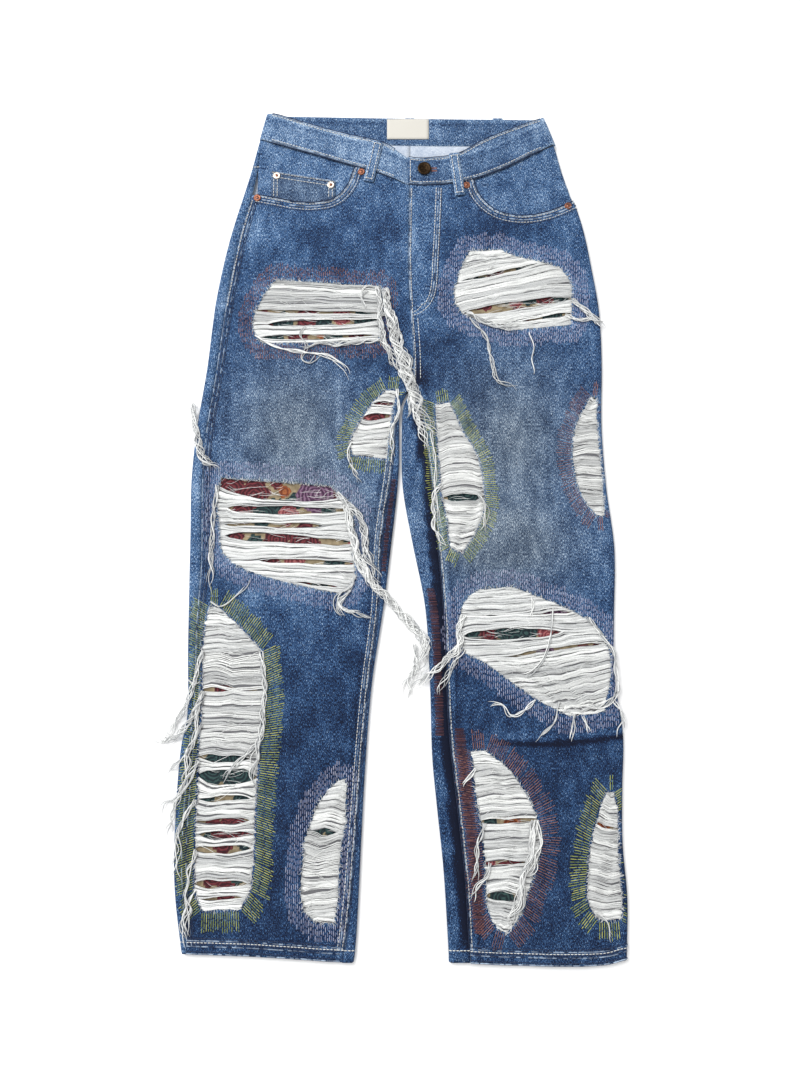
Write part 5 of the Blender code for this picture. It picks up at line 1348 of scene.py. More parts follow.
def weft_band(rip, band, columns, strands, rng):
    """One band's yarns, in rounded bundles; in the less crinkled rips the first yarn of each is darker, as
    painted shade between them.
    """
    count = max(4, round(rip.tallest(band) / WEFT_PITCH))
    crinkle = CRINKLED[rip.name]
    yarns = []
    while len(yarns) < count:
        group = rng.randint(*BUNDLE_YARNS)
        tone, sink = rng.uniform(0.55, 0.95), rng.uniform(-0.0004, 0.0004)
        turn, swell = rng.uniform(0, 6.3), rng.uniform(0.0004, 0.0018)
        for k in range(group):
            aside = 2 * (k + 0.5) / group - 1
            # Painted shade: a darker first yarn stands for the shade line between bundles.
            shade = -0.25 if k == 0 and crinkle < 0.0010 else 0.0
            yarns.append((tone + shade, sink + 0.0010 * aside * aside, turn, swell))
    sway = rng.uniform(0, 6.3)
    for k in range(count):
        tone, sink, turn, swell = yarns[k]
        t = (k + rng.uniform(0.2, 0.8)) / count
        phase = sway + 0.03 * k + rng.uniform(-0.3, 0.3)
        start, stop = 0, len(columns)
        if rng.random() < 0.06 and len(columns) > 8:
            cut_at = rng.randint(4, len(columns) - 4)
            start, stop = (0, cut_at) if rng.random() < 0.5 else (cut_at, len(columns))
        line = []
        for j in range(start, stop):
            u = columns[j]
            top, bottom = band[j]
            aside = crinkle * (math.sin(phase + u * rip.width / 0.0085)
                               + 0.5 * math.sin(1.7 * phase + u * rip.width / 0.0041))
            aside += swell * math.sin(turn + u * rip.width / 0.022)
            f = lerp(top, bottom, t) + aside / rip.length
            at_edge = min(u, 1 - u) * rip.width
            lift = 0.0005 * math.sin(turn + u * 5)
            line.append(rip.place(u, f, sink - lift - 0.0003 + 0.0012 * math.exp(-at_edge / 0.0012)))
        strands.add(line, WEFT_RADIUS * rng.uniform(0.8, 1.2), tone + rng.uniform(-0.10, 0.10))


def weft(name):
    rip = Rip(name)
    rng = random.Random(name)
    strands = Strands()
    columns = rip.columns(WEFT_COLUMN)
    bands = rip.bands(columns)
    for band in bands:
        weft_band(rip, band, columns, strands, rng)
        # Under each band, a grey sheet of painted shade that darkens the gaps between its yarns.
        strands.sheet([[rip.place(u, lerp(top, bottom, f), SHADE_SHEET_DEPTH)
                        for u, (top, bottom) in zip(columns, band)]
                       for f in steps_between(0.02, 0.98, max(2, round(rip.tallest(band) / 0.006)))],
                      slot=1)
    stray_yarns(rip, strands, rng)
    obj = strands.object("Weft " + name.replace("_", " "), WEFT_YARN, PAINTED_WEFT_SHADE)
    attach(obj, "root")
    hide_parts("weft_" + name)


def stray_yarns(rip, strands, rng):
    """Thin fibres and broken yarns that lie aslant over the others."""
    for _ in range(round(rip.width * rip.length * 7000)):
        u, f = rng.uniform(0.03, 0.9), rng.uniform(0.02, 0.97)
        span = rng.uniform(0.008, 0.03) / rip.width
        lean = rng.gauss(0, 0.005) / rip.length
        curl = rng.gauss(0, 0.0016) / rip.length
        line = [rip.place(min(u + span * s, 1.0), f + lean * s + curl * math.sin(3 * s), -0.0008)
                for s in steps_between(0, 1, 5)]
        strands.add(line, rng.uniform(0.00016, 0.00032), rng.uniform(0.5, 1.0), 0.3, 0.2)


PATCH_MARGIN = 0.010
PATCH_DEPTH = 0.0024


MOTIF_KINDS = ("rose", "pink", "plum", "leaf", "rust")
# The motifs that show in the gaps, as (kind, x, y, radius); later ones lie over earlier ones
MOTIFS = {
    "right_thigh": (("leaf", -0.140, 0.232, 0.013), ("rose", -0.110, 0.236, 0.014),
                    ("leaf", -0.090, 0.228, 0.010), ("pink", -0.068, 0.238, 0.011),
                    ("leaf", -0.040, 0.234, 0.014), ("rose", -0.120, 0.214, 0.013),
                    ("leaf", -0.078, 0.213, 0.012), ("rose", -0.050, 0.215, 0.010),
                    ("leaf", -0.150, 0.212, 0.011), ("rust", -0.094, 0.214, 0.006)),
    "right_inner_thigh": (("rose", -0.022, 0.122, 0.012), ("rose", -0.026, 0.106, 0.014),
                          ("pink", -0.040, 0.104, 0.008), ("leaf", -0.014, 0.098, 0.008)),
    "right_knee": (("leaf", -0.140, 0.000, 0.012), ("rose", -0.198, 0.022, 0.020),
                   ("rose", -0.170, 0.016, 0.019), ("rust", -0.134, 0.020, 0.008),
                   ("leaf", -0.146, 0.004, 0.009), ("leaf", -0.124, 0.006, 0.011),
                   ("plum", -0.096, 0.016, 0.022), ("rose", -0.066, 0.012, 0.010),
                   ("rose", -0.184, -0.006, 0.013), ("leaf", -0.158, -0.010, 0.014),
                   ("pink", -0.128, -0.008, 0.013), ("leaf", -0.080, -0.008, 0.010),
                   ("leaf", -0.206, -0.030, 0.012), ("rose", -0.190, -0.036, 0.010),
                   ("leaf", -0.168, -0.040, 0.009), ("rose", -0.142, -0.038, 0.015),
                   ("rose", -0.110, -0.040, 0.018), ("rose", -0.108, -0.026, 0.010),
                   ("rose", -0.150, -0.066, 0.012), ("pink", -0.120, -0.064, 0.013),
                   ("leaf", -0.072, -0.066, 0.013), ("leaf", -0.090, -0.094, 0.010),
                   ("pink", -0.072, -0.096, 0.006)),
    "right_shin": (("rose", -0.200, -0.212, 0.010), ("leaf", -0.208, -0.300, 0.018),
                   ("leaf", -0.180, -0.304, 0.020), ("leaf", -0.196, -0.290, 0.012),
                   ("leaf", -0.215, -0.328, 0.010), ("rose", -0.190, -0.350, 0.010),
                   ("rose", -0.205, -0.366, 0.013), ("rose", -0.178, -0.368, 0.014),
                   ("leaf", -0.170, -0.384, 0.008), ("rose", -0.195, -0.382, 0.012),
                   ("leaf", -0.212, -0.378, 0.007), ("rose", -0.205, -0.414, 0.014),
                   ("leaf", -0.178, -0.412, 0.013), ("rose", -0.190, -0.432, 0.012)),
    "right_ankle": (("rose", -0.080, -0.385, 0.008),),
    "left_thigh": (("leaf", 0.086, 0.258, 0.013), ("rose", 0.106, 0.256, 0.012),
                   ("leaf", 0.132, 0.266, 0.012), ("pink", 0.146, 0.260, 0.010),
                   ("leaf", 0.164, 0.264, 0.012), ("rose", 0.182, 0.262, 0.011),
                   ("leaf", 0.200, 0.262, 0.009), ("rose", 0.120, 0.300, 0.012),
                   ("leaf", 0.160, 0.300, 0.014), ("rose", 0.150, 0.238, 0.012),
                   ("leaf", 0.190, 0.240, 0.012)),
    "left_outer_thigh": (),
    "left_inner_thigh": (("leaf", 0.068, 0.018, 0.012), ("leaf", 0.084, 0.016, 0.013)),
    "left_knee": (("leaf", 0.128, -0.146, 0.013), ("leaf", 0.150, -0.148, 0.014),
                  ("leaf", 0.138, -0.156, 0.012), ("pink", 0.176, -0.150, 0.013),
                  ("rose", 0.190, -0.152, 0.010), ("rose", 0.206, -0.136, 0.012),
                  ("leaf", 0.190, -0.178, 0.010), ("rose", 0.214, -0.172, 0.012)),
    "left_shin": (("leaf", 0.104, -0.362, 0.010), ("rust", 0.130, -0.360, 0.010),
                  ("rose", 0.120, -0.412, 0.012), ("leaf", 0.118, -0.440, 0.014)),
    "left_ankle": (("rust", 0.234, -0.360, 0.008),),
}
FILLER_SPACING = 0.021
MOTIF_GRID = 0.0025


def motifs_of(name, low, high):
    """The placed motifs over others that fill the rest of the patch."""
    rng = random.Random("motifs " + name)
    fillers = []
    y = low[1]
    while y < high[1]:
        x = low[0]
        while x < high[0]:
            kind = rng.choice(("rose", "leaf", "rose", "leaf", "pink", "plum"))
            here = (kind, x + rng.uniform(-0.006, 0.006), y + rng.uniform(-0.006, 0.006),
                    rng.uniform(0.008, 0.013))
            if all(math.dist(here[1:3], placed[1:3]) > placed[3] + 0.006 for placed in MOTIFS[name]):
                fillers.append(here)
            x += FILLER_SPACING
        y += FILLER_SPACING
    return fillers + list(MOTIFS[name])


def patch(name):
    """The tapestry behind a rip, sewn to the panel round it."""
    leg = leg_of(name)
    rip = Rip(name)
    rows, flat_rows = [], []
    down_count = math.ceil((rip.length + 2 * PATCH_MARGIN) / MOTIF_GRID)
    across_count = math.ceil((rip.width + 2 * PATCH_MARGIN) / MOTIF_GRID)
    for f in steps_between(-0.12, 1.12, down_count):
        inside = min(max(f, 0.0), 1.0)
        a, b = edge_point(rip.left, inside), edge_point(rip.right, inside)
        shift = PATCH_MARGIN * (inside - f) / 0.12
        row, flat_row = [], []
        for g in steps_between(0, 1, across_count):
            x = lerp(a.x - PATCH_MARGIN, b.x + PATCH_MARGIN, g)
            y = lerp(a.y, b.y, g) + shift
            limits = sorted((leg.outer.start(y), leg.inner.start(y)))
            if y > CROTCH:
                limits = (RIGHT_OUTER.start(y), LEFT_OUTER.start(y))
            x = min(max(x, limits[0]), limits[1])
            row.append(on_top(x, y, PATCH_DEPTH))
            flat_row.append((x, y))
        rows.append(row)
        flat_rows.append(flat_row)
    places = [place for row in flat_rows[::-1] for place in row]
    piece = grid_shell("Tapestry " + name.replace("_", " "), rows[::-1], flat_rows[::-1],
                       facing_wash(0.5), 0.0009, outer=TAPESTRY)
    low, high = np.min(places, axis=0), np.max(places, axis=0)
    shares = {kind: [0.0] * len(places) for kind in MOTIF_KINDS}
    reaches = [0.0] * len(places)
    motifs = motifs_of(name, low, high)
    for k, (x, y) in enumerate(places):
        wobble = 0.0035 * noise.noise((x * 130, y * 130, 8.0))
        for kind, motif_x, motif_y, radius in reversed(motifs):
            away = math.hypot(x - motif_x, y - motif_y)
            if away < radius + wobble:
                shares[kind][k] = 1.0
                reaches[k] = away
                break
    keep_point_values(piece.data, reach=reaches, **shares)
    declare(piece, "patch_" + name, (high[0] - low[0], high[1] - low[1]))


# Sewing
STITCH = 0.0032
STITCH_GAP = 0.0007
STITCH_RADIUS = 0.00055


def stitch_row(strands, points, place, tone=0.6, stitch=STITCH, gap=STITCH_GAP,
               radius=STITCH_RADIUS, rng=None):
    """Stitches end to end along a smooth line through the points."""
    line = smooth_route(points, 0.0005)
    count = int(len(line) * 0.0005 / (stitch + gap))
    each = len(line) / max(count, 1)
    for k in range(count):
        first = int(k * each)
        last = min(int(first + each * stitch / (stitch + gap)), len(line) - 1)
        stations = [first + (last - first) * j / 3 for j in range(4)]
        bow = (0.0, 1.0, 1.0, 0.0)
        row = [place(*line[int(station)], -radius * (0.2 + 0.7 * rise))
               for station, rise in zip(stations, bow)]
        strands.add(row, radius, tone + (rng.uniform(-0.25, 0.25) if rng else 0.0), 0.6, 0.6)


def aside_line(points, distance):
    """The same line moved aside, to the left of its direction."""
    line = smooth_route(points, 0.004)
    moved = []
    for k, (x, y) in enumerate(line):
        side = side_of(line, k)
        moved.append((x + side.x * distance, y + side.y * distance))
    return moved


MOUTH_ROWS = (0.0018, 0.0085)
FLY_ROWS = (0.0, 0.0060)
OUTSEAM_ROW = 0.0022
INSEAM_ROWS = ((RIGHT, (0.0022, 0.0075)), (LEFT, (0.0022,)))


def topstitching():
    rng = random.Random(5)
    strands = Strands()

    def front_of(leg):
        return lambda x, y, depth: leg.front(x, y, depth)

    def back_of(leg):
        return lambda x, y, depth: leg.back(x, y, depth)

    def band_face(x, y, depth):
        return on_top(x, y, depth - BAND_PROUD - 0.0002)

    def loop_face(x, y, depth):
        return on_top(x, y, depth - BAND_PROUD - LAYER_GAP - LOOP_CLOTH - 0.0011)

    for xs in ((-0.158, -0.0035), (LAP_EDGE + 0.003, 0.181)):
        for edge, inward in ((FRONT_BAND_LOW, 0.0028), (FRONT_BAND_HIGH, -0.0030)):
            points = [(x, edge(x) + inward) for x in steps_between(*xs, 16)]
            stitch_row(strands, points, band_face, 0.7, rng=rng)
    lap = [(LAP_EDGE + 0.003, FRONT_BAND_LOW(LAP_EDGE) + 0.003),
           (LAP_EDGE + 0.003, FRONT_BAND_HIGH(0.02) - 0.003)]
    stitch_row(strands, lap, band_face, 0.7, rng=rng)

    for edge, inward in ((BACK_BAND_LOW, 0.003), (BACK_BAND_HIGH, -0.003)):
        points = [(x, edge(x) + inward) for x in steps_between(-0.146, 0.168, 16)]
        stitch_row(strands, points, lambda x, y, depth: beneath(x, y, depth + 0.0002 - BAND_PROUD), 0.6,
                   rng=rng)

    for mouth, leg in ((RIGHT_POCKET_MOUTH, RIGHT), (LEFT_POCKET_MOUTH, LEFT)):
        for away in MOUTH_ROWS:
            points = aside_line(mouth, -away)
            stitch_row(strands, points, front_of(leg), 0.6, rng=rng)
    coin_top = [(-0.157, 0.4262), (-0.0785, 0.4130)]
    for drop in (0.0, 0.0055):
        points = [(x, y - drop) for x, y in coin_top]
        stitch_row(strands, points, lambda x, y, depth: on_top(x, y, depth + 0.0002), 0.6, rng=rng)
    for x, low, high in ((-0.1545, 0.3945, 0.4265), (-0.0810, 0.3935, 0.4125)):
        for shift in (0.0, 0.0045):
            aside = shift if x < -0.1 else -shift
            stitch_row(strands, [(x + aside, low), (x + aside, high - 0.2 * shift)],
                       lambda x, y, depth: on_top(x, y, depth + 0.0002), 0.55, rng=rng)

    for away in FLY_ROWS:
        curve = [(FLY_STITCH(y) - away, y) for y in steps_between(0.405, 0.252, 14)]
        curve += [(lerp(FLY_STITCH(0.252) - away, 0.020, f),
                   0.252 - 0.013 * math.sin(1.57 * f) + away * 0.7)
                  for f in steps_between(0.2, 1, 5)]
        stitch_row(strands, curve, front_of(LEFT), 0.62, rng=rng)
    edge = [(RISE(y) + 0.0022, y) for y in steps_between(0.404, 0.158, 20)]
    stitch_row(strands, edge, front_of(LEFT), 0.62, rng=rng)
    lower = [(RISE(y) + 0.0080, y) for y in steps_between(0.235, 0.158, 8)]
    stitch_row(strands, lower, front_of(LEFT), 0.62, rng=rng)

    line = [(RIGHT.front_outseam(y) - RIGHT.sign * OUTSEAM_ROW, y) for y in steps_between(0.389, 0.250, 10)]
    stitch_row(strands, line, front_of(RIGHT), 0.62, rng=rng)
    for leg, aways in INSEAM_ROWS:
        for away in aways:
            line = [(leg.front_inseam(y) + leg.sign * away, y) for y in steps_between(0.112, -0.494, 26)]
            stitch_row(strands, line, front_of(leg), 0.60, rng=rng)
        hem = [(x, hem_height(leg, x) + HEM_DEPTH)
               for x in steps_between(leg.front_outseam(-0.49), leg.front_inseam(-0.49), 10)]
        stitch_row(strands, hem, front_of(leg), 0.62, rng=rng)
        hem = [(x, hem_height(leg, x) + HEM_DEPTH)
               for x in steps_between(leg.back_outseam(-0.49), leg.back_inseam(-0.49), 10)]
        stitch_row(strands, hem, back_of(leg), 0.62, rng=rng)
        yoke_row = [(x, YOKE_SEAM(x) + 0.0025)
                    for x in steps_between(leg.back_outseam(0.43), CENTRE_BACK(0.4), 12)]
        stitch_row(strands, yoke_row, back_of(leg), 0.62, rng=rng)
    centre = [(CENTRE_BACK(y) + 0.003, y) for y in steps_between(0.46, 0.16, 16)]
    stitch_row(strands, centre, back_of(LEFT), 0.62, rng=rng)
    for middle in BACK_POCKET_MIDDLES:
        for inset in (0.002, 0.0075):
            half = 0.0725 - inset
            low = 0.064 - inset
            outline = [(middle - half, 0.423 - inset), (middle - low, 0.302 + inset * 0.4),
                       (middle, 0.286 + inset), (middle + low, 0.302 + inset * 0.4),
                       (middle + half, 0.423 - inset)]
            for a, b in zip(outline, outline[1:]):
                stitch_row(strands, [a, b], lambda x, y, depth: Vector((x, y, 0.0001)), 0.6,
                           rng=rng)
    for bottom, top in FRONT_LOOPS.values():
        heading = Vector((top[0] - bottom[0], top[1] - bottom[1])).normalized()
        for shift in (-0.0036, 0.0036):
            rail = [(lerp(bottom[0], top[0], f) + heading.y * shift,
                     lerp(bottom[1], top[1], f) - heading.x * shift)
                    for f in (0.04, 0.5, 0.96)]
            stitch_row(strands, rail, loop_face, 0.7, rng=rng)
        for f in (0.06, 0.94):
            bar = [(lerp(bottom[0], top[0], f) + heading.y * s, lerp(bottom[1], top[1], f) - heading.x * s)
                   for s in (-0.005, 0.0, 0.005)]
            stitch_row(strands, bar, loop_face, 0.75, 0.0018, 0.0002, rng=rng)
    obj = strands.object("Topstitching", TOPSTITCH)
    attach(obj, "root")


LADDER_PITCH = 0.0017
LADDER_RADIUS = 0.00070


RIP_OUTLINES = {name: [(p.x, p.y) for p in rip_edge(rip["left"]) + rip_edge(rip["right"])[::-1]]
                for name, rip in RIPS.items()}
RIP_BOXES = {name: (np.min(outline, axis=0).tolist(), np.max(outline, axis=0).tolist())
             for name, outline in RIP_OUTLINES.items()}


def in_polygon(x, y, polygon):
    found = False
    for (x0, y0), (x1, y1) in zip(polygon, polygon[1:] + polygon[:1]):
        if (y0 > y) != (y1 > y) and x < x0 + (y - y0) * (x1 - x0) / (y1 - y0):
            found = not found
    return found


def clear_of_rips(x, y):
    for name, (low, high) in RIP_BOXES.items():
        if low[0] < x < high[0] and low[1] < y < high[1] and in_polygon(x, y, RIP_OUTLINES[name]):
            return False
    return True
BORDERS = {
    "right_thigh": (RUST_YARN, "upright", 0.022), "right_inner_thigh": (GREEN_YARN, "radial", 0.019),
    "right_knee": (LILAC_YARN, "upright", 0.022), "right_shin": (GREEN_YARN, "radial", 0.024),
    "right_ankle": (LILAC_YARN, "upright", 0.021), "left_thigh": (LILAC_YARN, "upright", 0.024),
    "left_outer_thigh": (RUST_YARN, "radial", 0.020), "left_inner_thigh": (GREEN_YARN, "radial", 0.018),
    "left_knee": (LILAC_YARN, "upright", 0.022), "left_shin": (RUST_YARN, "radial", 0.023),
    "left_ankle": (GREEN_YARN, "radial", 0.021),
}
BORDER_RADIUS = 0.00050
RADIAL_PITCH = 0.0026
UPRIGHT_PITCH = 0.0021


def border(name):
    """Darning stitches round a rip: radial ones, or rows of short upright ones."""
    material, kind, reach = BORDERS[name]
    leg = leg_of(name)
    rng = random.Random("border " + name)
    strands = Strands()
    outline = spread_points(RIP_OUTLINES[name], RADIAL_PITCH if kind == "radial" else UPRIGHT_PITCH)
    middle = Vector(np.mean(outline, axis=0))

    def lay(points, tone):
        kept = [(x, y) for x, y in points if clear_of_rips(x, y) and on_panel(leg, x, y)]
        if len(kept) > 2:
            strands.add([leg.front(x, y, -0.0002) for x, y in kept], BORDER_RADIUS, tone, 0.6, 0.6)

    if kind == "radial":
        closed = outline + outline[:1]
        for k in range(len(outline)):
            here, after = Vector(closed[k]), Vector(closed[k + 1])
            heading = (after - here).normalized()
            out = Vector((heading.y, -heading.x))
            if out.dot(here - middle) < 0:
                out.negate()
            blend = (here - middle).normalized()
            out = (out * 0.7 + blend * 0.3).normalized()
            first, last = rng.uniform(0.0015, 0.003), reach * rng.uniform(0.86, 1.08)
            tone = rng.uniform(0.2, 0.9)
            while first < last - 0.002:
                end = min(first + rng.uniform(0.006, 0.011), last)
                lay([tuple(here + out * lerp(first, end, s)) for s in steps_between(0, 1, 4)],
                    tone + rng.uniform(-0.15, 0.15))
                first = end + 0.0008
    else:
        upright_rows(outline, reach, rng, lay)
    obj = strands.object("Darning " + name.replace("_", " "), material)
    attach(obj, "root")


def upright_rows(outline, reach, rng, lay):
    """Columns of short upright stitches in a border round the rip."""
    tree = kdtree.KDTree(len(outline))
    for k, (x, y) in enumerate(outline):
        tree.insert((x, y, 0.0), k)
    tree.balance()
    xs, ys = [x for x, _ in outline], [y for _, y in outline]
    x = min(xs) - reach
    while x < max(xs) + reach:
        y = min(ys) - reach + rng.uniform(0, 0.004)
        while y < max(ys) + reach:
            length = rng.uniform(0.0035, 0.0065)
            away = tree.find((x, y + length / 2, 0.0))[2]
            ragged = reach * (0.9 + 0.15 * noise.noise((x * 90, y * 90, 4.0)))
            if 0.002 < away < ragged:
                lay([(x, y + length * s) for s in steps_between(0, 1, 4)], rng.uniform(0.1, 0.9))
            y += length + rng.uniform(0.0010, 0.0026)
        x += rng.uniform(0.0019, 0.0025)


def on_panel(leg, x, y):
    """Whether a place lies on the front of that leg, clear of its seams."""
    outer, inner = leg.outer.line(y), leg.inner.line(y) if y < CROTCH else RISE(y)
    if y < CROTCH and leg is RIGHT:
        inner = min(inner, leg.front_inseam(y))
    low, high = sorted((outer, inner))
    return low + 0.001 < x < high - 0.001


def strip_x(leg, x, y):
    """The flat-pattern x of a place that shows on a back's strip turned up beside the inseam."""
    start = leg.inner.start(y)
    return start + leg.inner.side * HALF_TURN - (x - start)


def ladder(strands, place, line_at, from_y, to_y, width, rng, tone):
    """Short level stitches up a strip, as a ladder."""
    y = from_y
    while y < to_y:
        middle = line_at(y)
        wide = width * rng.uniform(0.75, 1.0)
        lean = rng.uniform(-0.0003, 0.0003)
        strands.add([place(middle + wide * (s - 0.5), y + lean) for s in steps_between(0, 1, 4)],
                    LADDER_RADIUS, tone + rng.uniform(-0.3, 0.3), 0.6, 0.6)
        y += LADDER_PITCH


def ladders():
    rng = random.Random(23)
    strands = Strands()

    def on_strip(leg):
        return lambda x, y: leg.back(strip_x(leg, x, y), y, -0.0003)

    ladder(strands, on_strip(RIGHT), lambda y: (RIGHT.inner.start(y) + RIGHT_INSEAM(y)) / 2 + 0.001,
           -0.075, 0.035, 0.006, rng, 0.45)
    ladder(strands, on_strip(LEFT), lambda y: LEFT.inner.start(y) + 0.0065, -0.262, -0.095, 0.011, rng, 0.5)
    ladder(strands, lambda x, y: LEFT.front(x, y, -0.0003), lambda y: LEFT.front_inseam(y) + 0.011,
           -0.475, -0.255, 0.014, rng, 0.6)
    obj = strands.object("Ladder stitches", WINE_YARN)
    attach(obj, "root")


# Ridges where the cloth is folded over at a seam, worn pale and dark in turn, each with a dark tube of
# painted shade beside it
RIDGE_RADIUS = 0.0011
RIDGE_PIECE = (0.0035, 0.0080)
RIDGE_STEP = 0.0012
# Radius of the painted shade tube beside each ridge.
SHADE_LINE_RADIUS = 0.0007


def ridge(strands, points, place, rng, tone=0.62, radius=RIDGE_RADIUS, shade_line_aside=0.0022):
    """A puckered ridge along a seam, with a dark tube of painted shade aside of it."""
    line = smooth_route(points, RIDGE_STEP)
    k = 0
    while k < len(line) - 2:
        last = min(k + max(3, round(rng.uniform(*RIDGE_PIECE) / RIDGE_STEP)), len(line) - 1)
        row = [place(*line[j], -radius * 0.3) for j in range(k, last + 1, 2)]
        if len(row) > 2:
            strands.add(row, radius, tone + rng.uniform(-0.50, 0.36), 0.7, 0.7)
        k = last
    # Painted shade: a tube in the darkest tone lies beside the ridge.
    beside = aside_line(points, shade_line_aside)
    strands.add([place(x, y, -SHADE_LINE_RADIUS * 0.1) for x, y in beside], SHADE_LINE_RADIUS, 0.0)


def ridges():
    rng = random.Random(41)
    strands = Strands()

    def band_face(x, y, depth):
        return on_top(x, y, depth - BAND_PROUD)

    for mouth, leg in ((RIGHT_POCKET_MOUTH, RIGHT), (LEFT_POCKET_MOUTH, LEFT)):
        points = aside_line(mouth, -0.0006)
        ridge(strands, points, leg.front, rng, 0.72, 0.0011, 0.0018)
        ridge(strands, aside_line(mouth, -0.0052), leg.front, rng, 0.58, 0.0014, -0.0052)
    for xs in ((-0.158, -0.0035), (LAP_EDGE + 0.001, 0.181)):
        low = [(x, FRONT_BAND_LOW(x) + 0.0010) for x in steps_between(*xs, 16)]
        high = [(x, FRONT_BAND_HIGH(x) - 0.0010) for x in steps_between(*xs, 16)]
        ridge(strands, low, band_face, rng, 0.66, 0.0010, -0.0020)
        ridge(strands, high, band_face, rng, 0.72, 0.0010, 0.0014)
    fly_edge = [(RISE(y) + 0.0006, y) for y in steps_between(0.404, 0.152, 26)]
    ridge(strands, fly_edge, LEFT.front, rng, 0.60, 0.0011, 0.0020)
    between = [(FLY_STITCH(y) - 0.003, y) for y in steps_between(0.405, 0.255, 14)]
    ridge(strands, between, LEFT.front, rng, 0.50, 0.0013, 0.0042)
    for leg, aways in ((RIGHT, (0.0010, 0.0050)), (LEFT, (0.0012,))):
        for away in aways:
            line = [(leg.front_inseam(y) + leg.sign * away, y) for y in steps_between(0.112, -0.492, 30)]
            ridge(strands, line, leg.front, rng, 0.40, 0.0010, leg.sign * -0.0022)
        low_x, high_x = sorted((leg.front_outseam(-0.49), leg.front_inseam(-0.49)))
        for rise, tone in ((0.0010, 0.66), (HEM_DEPTH - 0.004, 0.44), (HEM_DEPTH + 0.002, 0.42)):
            hem = [(x, hem_height(leg, x) + rise) for x in steps_between(low_x, high_x, 12)]
            ridge(strands, hem, leg.front, rng, tone, 0.0010, 0.0024)
    outseam = [(RIGHT.front_outseam(y) + 0.0012, y) for y in steps_between(0.388, -0.490, 36)]
    ridge(strands, outseam, RIGHT.front, rng, 0.50, 0.0011, 0.0024)
    ridge(strands, [(x + 0.005, y) for x, y in outseam], RIGHT.front, rng, 0.34, 0.0010, 0.0024)
    coin_top = [(x, lerp(0.4285, 0.4150, (x + 0.158) / 0.0805) - 0.0008)
                for x in steps_between(-0.157, -0.0785, 8)]
    ridge(strands, coin_top, lambda x, y, depth: on_top(x, y, depth + 0.0003), rng, 0.70, 0.0009, -0.0018)
    obj = strands.object("Seam ridges", RIDGE_DENIM)
    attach(obj, "root")


# Loose yarns
YARN_SPREAD = 0.0011


def rope(strands, points, yarns, radius, rng, splay=1.0, loose_end=0.25):
    """Yarns that hang together along a route, twisted a little and parting at the end."""
    line = smooth_route(points)
    count = len(line)
    lay = math.sqrt(yarns) * YARN_SPREAD * splay
    for k in range(yarns):
        turn, spin = rng.uniform(0, 6.3), rng.uniform(0.25, 0.6) * rng.choice((-1, 1))
        reach = lay * math.sqrt(rng.uniform(0.1, 1.0))
        stop = count - rng.randint(0, max(1, round(count * loose_end)))
        stray = rng.gauss(0, 0.0012)
        line_here = []
        for j in range(max(stop, 4)):
            j = min(j, count - 1)
            f = j / (count - 1)
            side = side_of(line, j)
            angle = turn + spin * j
            parting = stray * f * f * 2 + reach * math.cos(angle) * (1 + 0.8 * f * f)
            x, y = line[j][0] + side.x * parting, line[j][1] + side.y * parting
            height = cover(x, y) + radius + lay * 0.6 + reach * 0.6 * math.sin(angle)
            line_here.append((x, y, max(height, radius)))
        strands.add(line_here, radius * rng.uniform(0.8, 1.2), rng.uniform(0.35, 1.0), 0.7, 0.2)


